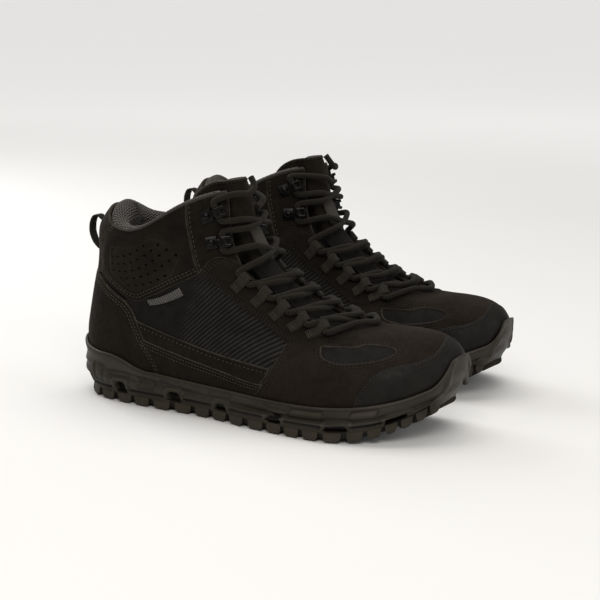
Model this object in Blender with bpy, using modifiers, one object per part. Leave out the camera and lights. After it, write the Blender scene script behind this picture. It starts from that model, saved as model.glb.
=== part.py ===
"""A pair of mid-cut hiking boots: soles, footbeds, lasted uppers of separate panels, padded
linings, tongues and laces.

Lengths are in millimetres in one boot's own frame: x runs from the heel (about 0) to the toe
(about 291), the right boot's lateral side is -y, and z is height above the ground. The left
boot is the mirror image, turned and set beside the right one.

The upper is one smooth surface upper(phi, rise). phi is the angle round the foot in degrees:
0 on the toe and instep ridge, 180 at the heel, positive on the lateral side. rise runs from
the feather line (0), where upper and sole meet, to the collar edge (1). Every leather or
textile panel is an outline on that surface, meshed and thickened.
"""
import math
from typing import NamedTuple

import bmesh
import bpy
import numpy as np
from mathutils import Vector
from mathutils.geometry import delaunay_2d_cdt

MM = 0.001

# ---- driving dimensions
PANEL = 1.5            # thickness of the outer panels
SEAM_GAP = 0.3         # half of the gap between neighbouring panels
LINING_DEPTH = 3.5     # how far the lining's outside lies under the panels' underside
LINING_THICK = 5.0
TONGUE_DEPTH = 2.7     # how far the tongue's outside lies under the panels' underside
TONGUE_THICK = 4.0
LACE_RADIUS = 2.2
LUG = 4.5              # tread lug height
PLATE = 4.0            # outsole plate between lugs and midsole
LEFT_YAW = -4.68       # the left boot's heading against the right boot's, degrees
LEFT_AT = (-12.1, 166.5)
PAIR_CENTRE = (139.68, 74.53)   # plan centre of the pair, which becomes the world origin

# ---- materials: base colour (linear RGB) and roughness
NUBUCK = dict(colour=(0.028, 0.024, 0.021), roughness=0.85)
TEXTILE = dict(colour=(0.022, 0.021, 0.020), roughness=0.95)
SOFT_TOE = dict(colour=(0.030, 0.030, 0.029), roughness=0.6)
MIDSOLE = dict(colour=(0.060, 0.055, 0.050), roughness=0.5)
TREAD = dict(colour=(0.035, 0.033, 0.031), roughness=0.55)
KNIT = dict(colour=(0.075, 0.070, 0.068), roughness=0.95)
CORD = dict(colour=(0.055, 0.050, 0.042), roughness=0.9)
HOOK = dict(colour=(0.018, 0.017, 0.015), roughness=0.3)
BOARD = dict(colour=(0.35, 0.28, 0.20), roughness=0.9)
FOAM = dict(colour=(0.05, 0.05, 0.05), roughness=0.9)


# ---- smooth curves
def spline(knots, values, x):
    """Natural cubic spline through the values at the knots, evaluated at x."""
    knots = np.asarray(knots, float)
    values = np.asarray(values, float)
    flat = values.ndim == 1
    if flat:
        values = values[:, None]
    count, gap = len(knots), np.diff(knots)
    matrix, right = np.zeros((count, count)), np.zeros((count, values.shape[1]))
    matrix[0, 0] = matrix[-1, -1] = 1.0
    for i in range(1, count - 1):
        matrix[i, i - 1 : i + 2] = gap[i - 1], 2 * (gap[i - 1] + gap[i]), gap[i]
        right[i] = 6 * ((values[i + 1] - values[i]) / gap[i]
                        - (values[i] - values[i - 1]) / gap[i - 1])
    bend = np.linalg.solve(matrix, right)
    x = np.clip(np.asarray(x, float), knots[0], knots[-1])
    k = np.clip(np.searchsorted(knots, x, side="right") - 1, 0, count - 2)
    width = gap[k][..., None]
    before, after = (x - knots[k])[..., None], (knots[k + 1] - x)[..., None]
    out = (
        (bend[k] * after**3 + bend[k + 1] * before**3) / (6 * width)
        + (values[k] / width - bend[k] * width / 6) * after
        + (values[k + 1] / width - bend[k + 1] * width / 6) * before
    )
    return out[..., 0] if flat else out


def chord(points):
    """Share of the polyline's length reached at each point, 0 to 1."""
    points = np.asarray(points, float)
    steps = np.linalg.norm(np.diff(points, axis=0), axis=1)
    length = np.concatenate([[0], np.cumsum(steps)])
    return length / length[-1]


class Curve:
    """A smooth curve through hand-set points, even in arc length from 0 to 1."""

    SAMPLES = 400

    def __init__(self, points):
        points = np.asarray(points, float)
        self.samples = spline(chord(points), points, np.linspace(0, 1, self.SAMPLES))
        self.shares = chord(self.samples)

    def __call__(self, share):
        share = np.clip(np.asarray(share, float), 0, 1)
        return np.stack([np.interp(share, self.shares, axis) for axis in self.samples.T], -1)


def smooth_step(x, low, high):
    """0 below low, 1 above high, smooth between."""
    t = np.clip((np.asarray(x, float) - low) / (high - low), 0, 1)
    return t * t * (3 - 2 * t)


def table(x, *pairs):
    """Linear interpolation in (x, value) pairs."""
    return np.interp(x, *zip(*pairs))


# ---- the lasted shape: four profile curves in the side view, as (x, z)
# along the foot, heel to toe
FEATHER = Curve([(1, 31), (40, 28), (90, 24), (140, 20), (190, 18), (235, 21), (267, 29),
                 (291, 41)])
COLLAR = Curve([(14.5, 139.5), (21, 136.5), (31, 133), (47, 131), (65, 137), (85, 149),
                (101, 157), (116, 162), (129, 164)])
# from the feather line up to the collar
HEEL = Curve([(1, 31), (-2, 47), (0, 64), (4, 86), (7.5, 106), (8, 121), (9.5, 132),
              (14.5, 139.5)])
RIDGE = Curve([(291, 41), (294.5, 51), (290, 63), (278, 70.3), (258, 73.5), (236, 76),
               (213, 79), (190, 85.5), (168, 97.5), (151, 113.5), (140, 130), (133, 147),
               (129, 164)])

# y of the centre line, heel to toe: the toe turns inwards
MIDLINE_STATIONS = [0, 0.25, 0.5, 0.75, 1]
MIDLINE = [0.0, 0.0, 0.5, 3.0, 8.0]

# half-widths: a column per station from heel (0) to toe (1), a row per rise
FORE_STATIONS = [0.0, 0.12, 0.3, 0.45, 0.6, 0.75, 0.88, 1.0]
RISE_STATIONS = [0.0, 0.12, 0.25, 0.4, 0.6, 0.8, 1.0]
WIDTHS_ABOVE = [         # the three highest rows, alike on both sides
    [44, 39, 34, 32, 31, 33, 36, 38],
    [41, 39, 36, 35, 34, 34, 34, 34],
    [39, 38, 36, 35, 35, 35, 35, 35],
]
WIDTHS_LATERAL = [
    [56, 43, 38, 38, 46, 58, 68, 74],
    [58, 46, 41, 40, 47, 57, 64, 66],
    [54, 45, 40, 38, 42, 47, 51, 53],
    [50, 42, 36, 34, 34, 38, 42, 44],
] + WIDTHS_ABOVE
WIDTHS_MEDIAL = [
    [56, 42, 34, 32, 38, 46, 58, 66],
    [58, 45, 38, 36, 41, 47, 56, 60],
    [54, 44, 37, 35, 39, 44, 48, 50],
    [50, 42, 35, 33, 34, 38, 42, 44],
] + WIDTHS_ABOVE
RISE_CELLS, FORE_CELLS = 120, 160     # the fine width grid


def dense(rows):
    """The width table, splined both ways onto the fine grid."""
    columns = np.asarray(rows, float).T
    across = spline(FORE_STATIONS, columns, np.linspace(0, 1, FORE_CELLS + 1))
    return spline(RISE_STATIONS, across.T, np.linspace(0, 1, RISE_CELLS + 1))


GRID_LATERAL, GRID_MEDIAL = dense(WIDTHS_LATERAL), dense(WIDTHS_MEDIAL)


def look_up(grid, rise, fore):
    """Bilinear interpolation in a fine width grid."""
    row, column = np.clip(rise, 0, 1) * RISE_CELLS, np.clip(fore, 0, 1) * FORE_CELLS
    i = np.minimum(row.astype(int), RISE_CELLS - 1)
    j = np.minimum(column.astype(int), FORE_CELLS - 1)
    a, b = row - i, column - j
    return (grid[i, j] * (1 - a) * (1 - b) + grid[i + 1, j] * a * (1 - b)
            + grid[i, j + 1] * (1 - a) * b + grid[i + 1, j + 1] * a * b)


def signed_turn(phi):
    """phi brought into -180 to 180."""
    return np.mod(np.asarray(phi, float) + 180, 360) - 180


def upper(phi, rise):
    """Points of the lasted surface."""
    phi, rise = np.broadcast_arrays(np.asarray(phi, float), np.asarray(rise, float))
    shape, phi, rise = phi.shape, phi.ravel(), rise.ravel()
    turn = signed_turn(phi)
    hand = np.where(turn >= 0, 1.0, -1.0)
    angle = np.radians(np.abs(turn))
    fore = (1 + np.cos(angle)) / 2          # 0 at the heel, 1 on the ridge
    f, r = fore[:, None], rise[:, None]
    # a patch between the four profiles, less its corners, which are counted twice
    xz = (1 - r) * FEATHER(fore) + r * COLLAR(fore) + (1 - f) * HEEL(rise) + f * RIDGE(rise)
    xz = xz - ((1 - f) * (1 - r) * FEATHER(0.0) + f * (1 - r) * FEATHER(1.0)
               + (1 - f) * r * COLLAR(0.0) + f * r * COLLAR(1.0))
    # the instep is flattened under the first lace rows
    xz[:, 1] -= 6.3 * np.exp(-(((rise - 0.40) / 0.12) ** 2) - (turn / 26.0) ** 2)
    width = np.where(hand > 0, look_up(GRID_LATERAL, rise, fore),
                     look_up(GRID_MEDIAL, rise, fore))
    middle = spline(MIDLINE_STATIONS, MIDLINE, fore) * np.clip(1 - 0.9 * rise, 0, 1)
    y = middle - hand * np.sin(angle) * width
    return np.stack([xz[:, 0], y, xz[:, 1]], -1).reshape(shape + (3,))


def normal(phi, rise):
    """Outward unit normal of the upper."""
    phi, rise = np.asarray(phi, float), np.clip(np.asarray(rise, float), 0.0, 1.0)
    across = upper(phi + 0.5, rise) - upper(phi - 0.5, rise)
    up = upper(phi, np.minimum(rise + 0.006, 1.0)) - upper(phi, np.maximum(rise - 0.006, 0.0))
    out = np.cross(up, across)
    return out / np.maximum(np.linalg.norm(out, axis=-1, keepdims=True), 1e-9)


def plan_normal(phi):
    """Outward unit normal of the feather line in plan."""
    along = upper(np.asarray(phi) + 1.0, 0.0) - upper(np.asarray(phi) - 1.0, 0.0)
    out = np.stack([-along[..., 1], along[..., 0], 0 * along[..., 0]], -1)
    return out / np.linalg.norm(out, axis=-1, keepdims=True)


def off_surface(phi, rise, out):
    """Points at a distance out from the lasted surface."""
    return upper(phi, rise) + normal(phi, rise) * np.asarray(out, float)[..., None]


# ---- seam lines on the lateral side of the upper, as (phi, rise); the medial takes -phi
SEAM_COLLAR_FACING = [(65, 1.0), (65.5, 0.935), (66, 0.87), (68, 0.805), (69.5, 0.745)]
EYESTAY_TOP = [(69.5, 0.745), (63.5, 0.77), (56, 0.793), (50, 0.793), (45, 0.778),
               (39, 0.755)]
FACING_FRONT = [(39, 0.755), (38, 0.80), (36, 0.85), (33, 0.905), (30.5, 0.955),
                (29.5, 1.0)]
COLLAR_LOW = [(151, 0.62), (139.5, 0.592), (130, 0.567), (122, 0.553), (117, 0.566),
              (108.5, 0.622), (92.5, 0.692), (77, 0.73), (69.5, 0.745)]
EYESTAY_REAR = [(69.5, 0.745), (63, 0.69), (62, 0.64), (60.5, 0.595), (58, 0.55),
                (57.5, 0.485), (59, 0.405), (60, 0.357)]
EYESTAY_FRONT = [(60, 0.357), (51.5, 0.33), (44.5, 0.302), (41.5, 0.28), (36, 0.285),
                 (29, 0.318), (22, 0.338), (11, 0.345), (0, 0.347)]
EYESTAY_THROAT = [(39, 0.755), (35.5, 0.68), (32.5, 0.58), (30, 0.5), (26, 0.435),
                  (16, 0.402), (0, 0.392)]
VAMP_REAR_TOP = [(60, 0.357), (66, 0.29), (72, 0.22), (77.5, 0.156)]
VAMP_REAR_LOW = [(77.5, 0.156), (81, 0.11), (85, 0.06), (87.5, 0.0)]
STRAP_TOP = [(122.5, 0.39), (113, 0.352), (101.5, 0.282), (95.5, 0.235), (88, 0.197),
             (77.5, 0.156)]
COUNTER_TOP = [(180, 0.6), (165, 0.598), (151, 0.59), (143, 0.57), (134.5, 0.547),
               (127, 0.522)]
COUNTER_FRONT = [(127, 0.522), (124, 0.48), (122.5, 0.39), (121.5, 0.30), (120.5, 0.21),
                 (119.5, 0.12), (118.5, 0.0)]
BACKSTAY = [(128.5, 1.0), (138, 0.93), (146, 0.845), (151.5, 0.75), (152, 0.68),
            (151, 0.62)]
BACKSTAY_LOW = [(165, 0.625), (180, 0.626), (195, 0.625)]
TOE_EDGE = [(54.5, 0.0), (53.5, 0.055), (49, 0.095), (43, 0.12), (35.5, 0.122),
            (27.5, 0.112), (19.5, 0.112), (10, 0.13), (0, 0.15)]
WINDOW = [(49.5, 0.303), (53, 0.262), (55, 0.222), (53, 0.187), (47, 0.172), (37.5, 0.163),
          (31, 0.172), (29.8, 0.19), (31, 0.222), (34.5, 0.258), (40, 0.258), (44, 0.28)]
MESH_LOW = [(57.5, 0.31), (59, 0.22), (55, 0.165), (46, 0.148), (34, 0.145), (15, 0.17),
            (0, 0.18)]
MESH_TOP = [(0, 0.31), (20, 0.305), (36, 0.30), (48, 0.335), (57.5, 0.31)]
SIDE_LABEL = [(110.5, 0.60), (110.5, 0.575), (87.5, 0.66), (87.5, 0.685)]
LINING_THROAT = [(40, 1.1), (40, 0.9), (41, 0.76), (42, 0.6), (40, 0.5), (35.5, 0.42),
                 (19, 0.37), (0, 0.355)]
TONGUE_EDGE = [(0, 0.405), (12, 0.41), (22, 0.435), (27, 0.5), (28.5, 0.58), (31, 0.68),
               (33.5, 0.76), (42, 0.84), (52, 0.9), (58, 0.96), (59, 1.0), (54, 1.045),
               (42, 1.085), (22, 1.1), (0, 1.102)]
TONGUE_KEEPER = [(13, 0.80), (13, 0.865), (-13, 0.865), (-13, 0.80)]

# lace loops, top to bottom: their sewn ends, and their folds, which hold the lace
LOOP_OUTER = [(53, 0.68), (49.5, 0.608), (48, 0.532), (48, 0.452), (46.5, 0.388)]
LOOP_INNER = [(42.5, 0.712), (37, 0.645), (36, 0.568), (36, 0.487), (35, 0.412)]
# lace hooks: rivet and hook tip
HOOKS = {"lower": ((53, 0.85), (42.5, 0.847)), "upper": ((51.5, 0.937), (40.5, 0.945))}


def back(line):
    return line[::-1]


def mirrored(line):
    return [(-phi, rise) for phi, rise in line]


def round_heel(line):
    """The medial copy of a line near the heel, on the same sheet as the lateral one."""
    return [(360 - phi, rise) for phi, rise in line]


def level(start, end, count, rise):
    """A run of count even steps from phi start to phi end at one rise."""
    return [(start + (end - start) * i / count, rise) for i in range(count + 1)]


def ring_of(*lines):
    """One outline from lines that meet end to end."""
    out = []
    for line in lines:
        for point in line:
            if not out or math.dist(point, out[-1]) > 1e-6:
                out.append(point)
    if math.dist(out[0], out[-1]) < 1e-6:
        out.pop()
    return out


# ---- sheets: an outline on the surface, triangulated
PHI_MM, RISE_MM = 1.8, 150.0       # rough millimetres per degree and per unit of rise


def flat_ring(outline, spacing):
    """The outline in rough millimetres, its edges split to the spacing."""
    ring = [(phi * PHI_MM, rise * RISE_MM) for phi, rise in outline]
    out = []
    for a, b in zip(ring, ring[1:] + ring[:1]):
        n = max(1, math.ceil(math.dist(a, b) / spacing))
        for i in range(n):
            out.append((a[0] + (b[0] - a[0]) * i / n, a[1] + (b[1] - a[1]) * i / n))
    return out


def turned_positive(ring):
    """The ring running counter-clockwise."""
    area = sum(a[0] * b[1] - b[0] * a[1] for a, b in zip(ring, ring[1:] + ring[:1])) / 2
    return ring[::-1] if area < 0 else ring


def inset(ring, distance):
    """The ring moved inwards."""
    ring = turned_positive(ring)
    out = []
    for i, point in enumerate(ring):
        point = Vector(point)
        arriving = (point - Vector(ring[i - 1])).normalized()
        leaving = (Vector(ring[(i + 1) % len(ring)]) - point).normalized()
        side = Vector((-arriving.y, arriving.x))
        inward = side + Vector((-leaving.y, leaving.x))
        inward = inward.normalized() if inward.length > 1e-6 else side
        lean = max(0.5, inward.dot(side))
        moved = point + inward * distance / lean
        out.append((moved.x, moved.y))
    return out


def inside(points, ring):
    x, y = points[:, 0], points[:, 1]
    odd = np.zeros(len(points), bool)
    for (ax, ay), (bx, by) in zip(ring, ring[1:] + ring[:1]):
        if ay == by:
            continue
        crosses = (ay > y) != (by > y)
        odd ^= crosses & (x < (bx - ax) * (y - ay) / (by - ay) + ax)
    return odd


def on_sheet(points, outer, holes):
    """Which points lie inside the outer ring and in none of the holes."""
    good = inside(points, outer)
    for hole in holes:
        good &= ~inside(points, hole)
    return good


def fill_grid(low, high, spacing):
    """Staggered rows of points, nearly equilateral."""
    row = spacing * 0.87
    return np.array([
        (low[0] + (i + 0.5 * (j % 2)) * spacing, low[1] + j * spacing * 0.87)
        for j in range(int((high[1] - low[1]) / row) + 2)
        for i in range(int((high[0] - low[0]) / spacing) + 2)
    ])


def sheet(outline, holes, spacing, gap):
    """Vertices (phi, rise) and triangles of a flat sheet with this outline."""
    outer = inset(flat_ring(outline, spacing), gap)
    holes = [turned_positive(flat_ring(hole, spacing)) for hole in holes]
    points, edges = [], []
    for ring in [outer] + holes:
        k = len(points)
        points += ring
        edges += [(k + i, k + (i + 1) % len(ring)) for i in range(len(ring))]
    border = np.array(points)
    grid = fill_grid(border.min(axis=0), border.max(axis=0), spacing)
    starts, ends = [a for a, _ in edges], [b for _, b in edges]
    walls = np.concatenate([border, (border[starts] + border[ends]) / 2])
    near = np.linalg.norm(grid[:, None] - walls[None], axis=2).min(axis=1)
    good = on_sheet(grid, outer, holes) & (near > spacing * 0.55)
    points += [tuple(point) for point in grid[good]]
    verts, _, faces, *_ = delaunay_2d_cdt([Vector(p) for p in points], edges, [], 0, 1e-5)
    verts = np.array([tuple(vert) for vert in verts])
    centres = np.array([verts[list(face)].mean(axis=0) for face in faces])
    faces = [face for face, ok in zip(faces, on_sheet(centres, outer, holes)) if ok]
    used = sorted({i for face in faces for i in face})
    index = {old: new for new, old in enumerate(used)}
    faces = [tuple(index[i] for i in face)[::-1] for face in faces]
    return verts[used] / (PHI_MM, RISE_MM), faces


# ---- objects
for old in list(bpy.data.objects):
    bpy.data.objects.remove(old, do_unlink=True)
for old in list(bpy.data.meshes):
    bpy.data.meshes.remove(old)

PARTS = bpy.data.collections.new("hiking_boots")
HELPERS = bpy.data.collections.new("cutters")
bpy.context.scene.collection.children.link(PARTS)
bpy.context.scene.collection.children.link(HELPERS)


def world(points, side):
    """Millimetres in the boot's own frame to metres in the pair's frame."""
    placed = np.array(points, float).reshape(-1, 3)
    if side == "left":
        yaw = math.radians(LEFT_YAW)
        x, y = placed[:, 0].copy(), -placed[:, 1]
        placed[:, 0] = x * math.cos(yaw) - y * math.sin(yaw) + LEFT_AT[0]
        placed[:, 1] = x * math.sin(yaw) + y * math.cos(yaw) + LEFT_AT[1]
    placed[:, 0] -= PAIR_CENTRE[0]
    placed[:, 1] -= PAIR_CENTRE[1]
    return placed * MM


def add_material(data, name, look):
    material = bpy.data.materials.new(name)
    material.use_nodes = True
    shader = material.node_tree.nodes["Principled BSDF"]
    shader.inputs["Base Color"].default_value = (*look["colour"], 1)
    shader.inputs["Roughness"].default_value = look["roughness"]
    shader.inputs["Metallic"].default_value = 0.0
    data.materials.append(material)


def mesh_object(name, side, points, faces, look, pivot=None):
    """An object from points in millimetres, mirrored for the left boot.

    The pivot becomes the object's origin. An object without a look is a hidden helper.
    """
    name = f"{side}_{name}"
    origin = np.zeros(3) if pivot is None else world([pivot], side)[0]
    order = 1 if side == "right" else -1
    mesh = bpy.data.meshes.new(name)
    mesh.from_pydata((world(points, side) - origin).tolist(), [],
                     [tuple(face)[::order] for face in faces])
    mesh.validate()
    obj = bpy.data.objects.new(name, mesh)
    obj.location = origin
    if look is None:
        HELPERS.objects.link(obj)
        obj.hide_render = True
        obj.display_type = "WIRE"
    else:
        PARTS.objects.link(obj)
        add_material(mesh, name, look)
    return obj


def closed_object(name, side, points, faces, look, pivot=None):
    """A mesh object for a closed body, its faces turned outwards."""
    obj = mesh_object(name, side, points, faces, look, pivot)
    bm = bmesh.new()
    bm.from_mesh(obj.data)
    bmesh.ops.recalc_face_normals(bm, faces=bm.faces)
    if bm.calc_volume(signed=True) < 0:
        bmesh.ops.reverse_faces(bm, faces=bm.faces)
    bm.to_mesh(obj.data)
    bm.free()
    return obj


def thicken(obj, thickness, offset, weights=None):
    """A solidify modifier; offset 1 grows outwards, -1 inwards."""
    shell = obj.modifiers.new("thickness", "SOLIDIFY")
    shell.thickness = thickness * MM
    shell.offset = offset
    shell.use_rim = True
    if weights is not None:
        group = obj.vertex_groups.new(name="thickness")
        for i, weight in enumerate(weights):
            group.add([i], float(weight), "REPLACE")
        shell.vertex_group = "thickness"
        shell.thickness_vertex_group = 0.0


def sheet_object(name, side, outline, place, look, spacing, gap=0.0, holes=(), pivot=None):
    """A sheet set in space by place(phi, rise); also returns the rise of its vertices."""
    where, faces = sheet(outline, holes, spacing, gap)
    points = place(where[:, 0], where[:, 1])
    return mesh_object(name, side, points, faces, look, pivot), where[:, 1]


def panel(name, side, outline, look, spacing, holes=(), lift=0.0, thickness=PANEL,
          gap=SEAM_GAP):
    """A panel whose underside lies at lift over the lasted surface, thickened outwards."""
    obj, _ = sheet_object(name, side, outline, lambda phi, rise: off_surface(phi, rise, lift),
                          look, spacing, gap, holes)
    thicken(obj, thickness, 1.0)
    return obj


def loft(name, side, loops, look, pivot=None):
    """A closed body through loops of matching points, each end closed by a ladder of quads."""
    n = len(loops[0])
    last = (len(loops) - 1) * n
    faces = []
    for k in range(len(loops) - 1):
        for i in range(n):
            j = (i + 1) % n
            faces.append((k * n + i, k * n + j, (k + 1) * n + j, (k + 1) * n + i))
    for base, order in ((0, -1), (last, 1)):
        for i in range(n // 2):
            rung = [base + i, base + i + 1, base + (n - i - 1) % n, base + (n - i) % n]
            rung = list(dict.fromkeys(rung))
            if len(rung) > 2:
                faces.append(tuple(rung[::order]))
    closed_object(name, side, np.concatenate(loops), faces, look, pivot)


# ---- sole: how far it stands out beyond the feather line, as (turn from the ridge, mm)
FLARE_LATERAL = ((0, -3), (20, -2), (40, 0.5), (50, 5), (60, 10), (75, 9.5), (88, 9), (97, 5),
                 (108, 1.5), (125, 2.4), (150, 1.5), (180, -0.5))
FLARE_MEDIAL = ((0, -3), (20, -2.5), (40, 0), (50, 2), (60, 4), (75, 5), (88, 4), (100, 2),
                (110, 1.5), (125, 2.4), (150, 1.5), (180, -0.5))
BULGE_LATERAL = ((0, 6.5), (15, 6.5), (30, 6.5), (50, 8), (60, 9.5), (75, 8.5), (88, 7.5),
                 (97, 5.5), (108, 3.8), (125, 4.5), (150, 6), (180, 7))
BULGE_MEDIAL = ((0, 6.5), (15, 6.5), (30, 6.2), (50, 6), (60, 6), (75, 6), (88, 5), (97, 4),
                (108, 3.6), (125, 4.5), (150, 6), (180, 7))
# how far up the upper the midsole's rim reaches, as (turn, rise): higher at heel and toe
RIM = ((0, 0.085), (11, 0.078), (17, 0.02), (150, 0.02), (162, 0.045), (172, 0.09), (180, 0.1))
FOOTBED_THICKNESS = ((0, 3.5), (90, 4.5), (180, 6.5))

MIDSOLE_GAP = 0.6          # between outsole plate and midsole
LUG_ROWS = 11
LUG_START, LUG_SPAN = 172, 164     # degrees: rearmost row's edge, and all the rows
TREAD_FRONT = 6.5          # phi of the outsole's front end
# one lug row, as (share of the row's pitch, 1 on a lug or 0 in a groove)
LUG_ROW = ((0, 0), (0.16, 1), (0.66, 1), (0.82, 0))
# across the sole, as (share from lateral to medial, 1 on a lug or 0 in the middle groove)
LUG_ACROSS = ((0.0, 1), (0.30, 1), (0.35, 0), (0.65, 0), (0.70, 1), (1.0, 1))

BOARD_OUT, BOARD_BELOW, BOARD_ABOVE = -1.4, 0.8, 0.6      # against the feather line
FOOTBED_OUT, FOOTBED_LIFT = -8.6, 1.2                     # against the feather line
FOOTBED_PIVOT = (262.0, 5.0, float(FEATHER(0.9)[1]) + FOOTBED_LIFT)


def sole_bottom(x):
    """Height of the tread's ground contact: sprung up at the toe and eased at the heel."""
    x = np.asarray(x, float)
    toe = 24.5 * (np.clip(x - 215, 0, 76) / 76) ** 2.3
    return toe + 3.0 * (np.clip(20 - x, 0, 20) / 20) ** 2


def by_side(phi, lateral, medial):
    turn = signed_turn(phi)
    return np.where(turn >= 0, table(np.abs(turn), *lateral), table(np.abs(turn), *medial))


def plan(phi, out, z):
    """A point at distance out beyond the feather line in plan, at height z."""
    point = upper(phi, 0.0) + plan_normal(phi) * np.asarray(out, float)[..., None]
    point[..., 2] = z
    return point


def flare_point(phi, z=0, extra=0.0):
    """A point on the outsole's edge in plan, or extra beyond it."""
    return plan(phi, by_side(phi, FLARE_LATERAL, FLARE_MEDIAL) + extra, z)


def all_round(half):
    """Angles round the foot: the given ones from 0, then 180, then the medial ones."""
    return np.concatenate([half, [180], -half[:0:-1]]).astype(float)


def build_midsole(side):
    phi = all_round(np.concatenate(
        [np.arange(0, 30, 6), np.arange(30, 150, 8), np.arange(150, 180, 6)]))
    feather = upper(phi, 0.0)
    rim = table(np.abs(signed_turn(phi)), *RIM)
    lip = off_surface(phi, rim, 2.6)
    lip_outer = lip + plan_normal(phi) * 2.0 - np.array([0, 0, 0.4])
    base = sole_bottom(feather[:, 0]) + LUG + PLATE + MIDSOLE_GAP
    band = feather[:, 2] - 3.5
    bulge = by_side(phi, BULGE_LATERAL, BULGE_MEDIAL)
    loft("midsole", side, [
        plan(phi, 2.9, feather[:, 2] - 1.2),
        off_surface(phi, rim / 2, 2.7),
        lip,
        lip_outer,
        plan(phi, 5.2, band),
        plan(phi, bulge, (band + base) / 2 + 0.5),
        flare_point(phi, base + 1.6, 1.2),
        flare_point(phi, base, 0.2),
    ], MIDSOLE)


def tread_rows():
    """Stations (phi, on a lug) from the heel to the front end."""
    pitch = LUG_SPAN / LUG_ROWS
    rows = []
    for k in range(LUG_ROWS):
        start = LUG_START - k * LUG_SPAN / LUG_ROWS
        rows += [(start - share * pitch, on_lug) for share, on_lug in LUG_ROW]
    return rows + [(TREAD_FRONT, 0)]


def build_outsole(side):
    """Straight rows across the sole, dropped into lugs, with a groove down the middle."""
    rows = tread_rows()
    low, top = [], []
    for phi, on_lug in rows:
        lateral, medial = flare_point(phi), flare_point(-phi)
        for share, beside_groove in LUG_ACROSS:
            x, y, _ = lateral * (1 - share) + medial * share
            drop = 0 if on_lug and beside_groove else LUG
            low.append((x, y, float(sole_bottom(x)) + drop))
        for x, y, _ in (lateral, medial):
            top.append((x, y, float(sole_bottom(x)) + LUG + PLATE))
    n, m = len(rows), len(LUG_ACROSS)
    faces = []
    for row in range(n - 1):
        here, ahead = row * m, (row + 1) * m
        for i in range(m - 1):
            faces.append((here + i, here + i + 1, ahead + i + 1, ahead + i))
        above = n * m + row * 2
        faces.append((above, above + 2, above + 3, above + 1))
        faces.append((here, ahead, above + 2, above))
        faces.append((ahead + m - 1, here + m - 1, above + 1, above + 3))
    # the heel end and the toe end
    faces.append(tuple(range(m)) + (n * m + 1, n * m))
    last = (n - 1) * m
    toe_low = tuple(range(last + m - 1, last - 1, -1))
    faces.append((n * m + 2 * n - 2, n * m + 2 * n - 1) + toe_low)
    closed_object("outsole", side, low + top, faces, TREAD)


def build_insole(side):
    """The insole board and the footbed over it."""
    phi = all_round(np.arange(0, 180, 12))
    z = upper(phi, 0.0)[:, 2]
    loft("insole_board", side, [plan(phi, BOARD_OUT, z - BOARD_BELOW),
                                plan(phi, BOARD_OUT, z + BOARD_ABOVE)], BOARD)
    thickness = table(np.abs(signed_turn(phi)), *FOOTBED_THICKNESS)
    loft("footbed", side, [plan(phi, FOOTBED_OUT, z + FOOTBED_LIFT),
                           plan(phi, FOOTBED_OUT, z + FOOTBED_LIFT + thickness)],
         FOAM, FOOTBED_PIVOT)


# ---- outer panels
def build_forefoot(side):
    panel("toe_cap", side, ring_of(TOE_EDGE, back(mirrored(TOE_EDGE)),
                                   level(-54.5, 54.5, 8, 0.0)), SOFT_TOE, 12.0)
    vamp = ring_of(
        back(VAMP_REAR_LOW), back(VAMP_REAR_TOP), EYESTAY_FRONT,
        back(mirrored(EYESTAY_FRONT)), mirrored(VAMP_REAR_TOP), mirrored(VAMP_REAR_LOW),
        level(-87.5, -54.5, 4, 0.0), mirrored(TOE_EDGE), back(TOE_EDGE),
        level(54.5, 87.5, 4, 0.0))
    panel("vamp", side, vamp, NUBUCK, 19.0, holes=(WINDOW, mirrored(WINDOW)))
    # the mesh lies under the vamp and shows through its windows
    mesh = ring_of(MESH_LOW, back(mirrored(MESH_LOW)), back(mirrored(MESH_TOP)), MESH_TOP)
    panel("vamp_mesh", side, mesh, TEXTILE, 18.0, lift=-2.3, thickness=0.6)
    eyestay = ring_of(
        EYESTAY_TOP, EYESTAY_THROAT, back(mirrored(EYESTAY_THROAT)),
        back(mirrored(EYESTAY_TOP)), mirrored(EYESTAY_REAR), mirrored(EYESTAY_FRONT),
        back(EYESTAY_FRONT), back(EYESTAY_REAR))
    panel("eyestay", side, eyestay, NUBUCK, 16.0)


def build_heel(side):
    counter = ring_of(COUNTER_TOP, COUNTER_FRONT, level(118.5, 241.5, 10, 0.0),
                      back(round_heel(COUNTER_FRONT)), back(round_heel(COUNTER_TOP)))
    panel("heel_counter", side, counter, NUBUCK, 24.0)
    backstay = ring_of(BACKSTAY, BACKSTAY_LOW, back(round_heel(BACKSTAY)),
                       level(231.5, 128.5, 6, 1.0))
    panel("backstay", side, backstay, NUBUCK, 24.0)


def build_flanks(side):
    """The panels that come in lateral and medial copies, and the lateral label."""
    quarter = ring_of([(133, 0.556), (130, 0.562)], COLLAR_LOW[3:], EYESTAY_REAR,
                      VAMP_REAR_TOP, back(STRAP_TOP), back(COUNTER_FRONT[:3]))
    strap = ring_of(STRAP_TOP, VAMP_REAR_LOW, level(87.5, 118.5, 5, 0.0),
                    back(COUNTER_FRONT[2:]))
    collar = ring_of(SEAM_COLLAR_FACING, back(COLLAR_LOW), back(BACKSTAY),
                     level(128.5, 65, 7, 1.0))
    facing = ring_of(SEAM_COLLAR_FACING, EYESTAY_TOP, FACING_FRONT, level(29.5, 65, 4, 1.0))
    for hand, way in (("lateral", list), ("medial", mirrored)):
        panel("quarter_" + hand, side, way(quarter), TEXTILE, 20.0, thickness=1.2)
        panel("strap_" + hand, side, way(strap), NUBUCK, 14.0)
        panel("collar_" + hand, side, way(collar), NUBUCK, 20.0)
        panel("facing_" + hand, side, way(facing), NUBUCK, 14.0)
    panel("side_label", side, SIDE_LABEL, CORD, 12.0, lift=2.3, thickness=0.6)


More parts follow.
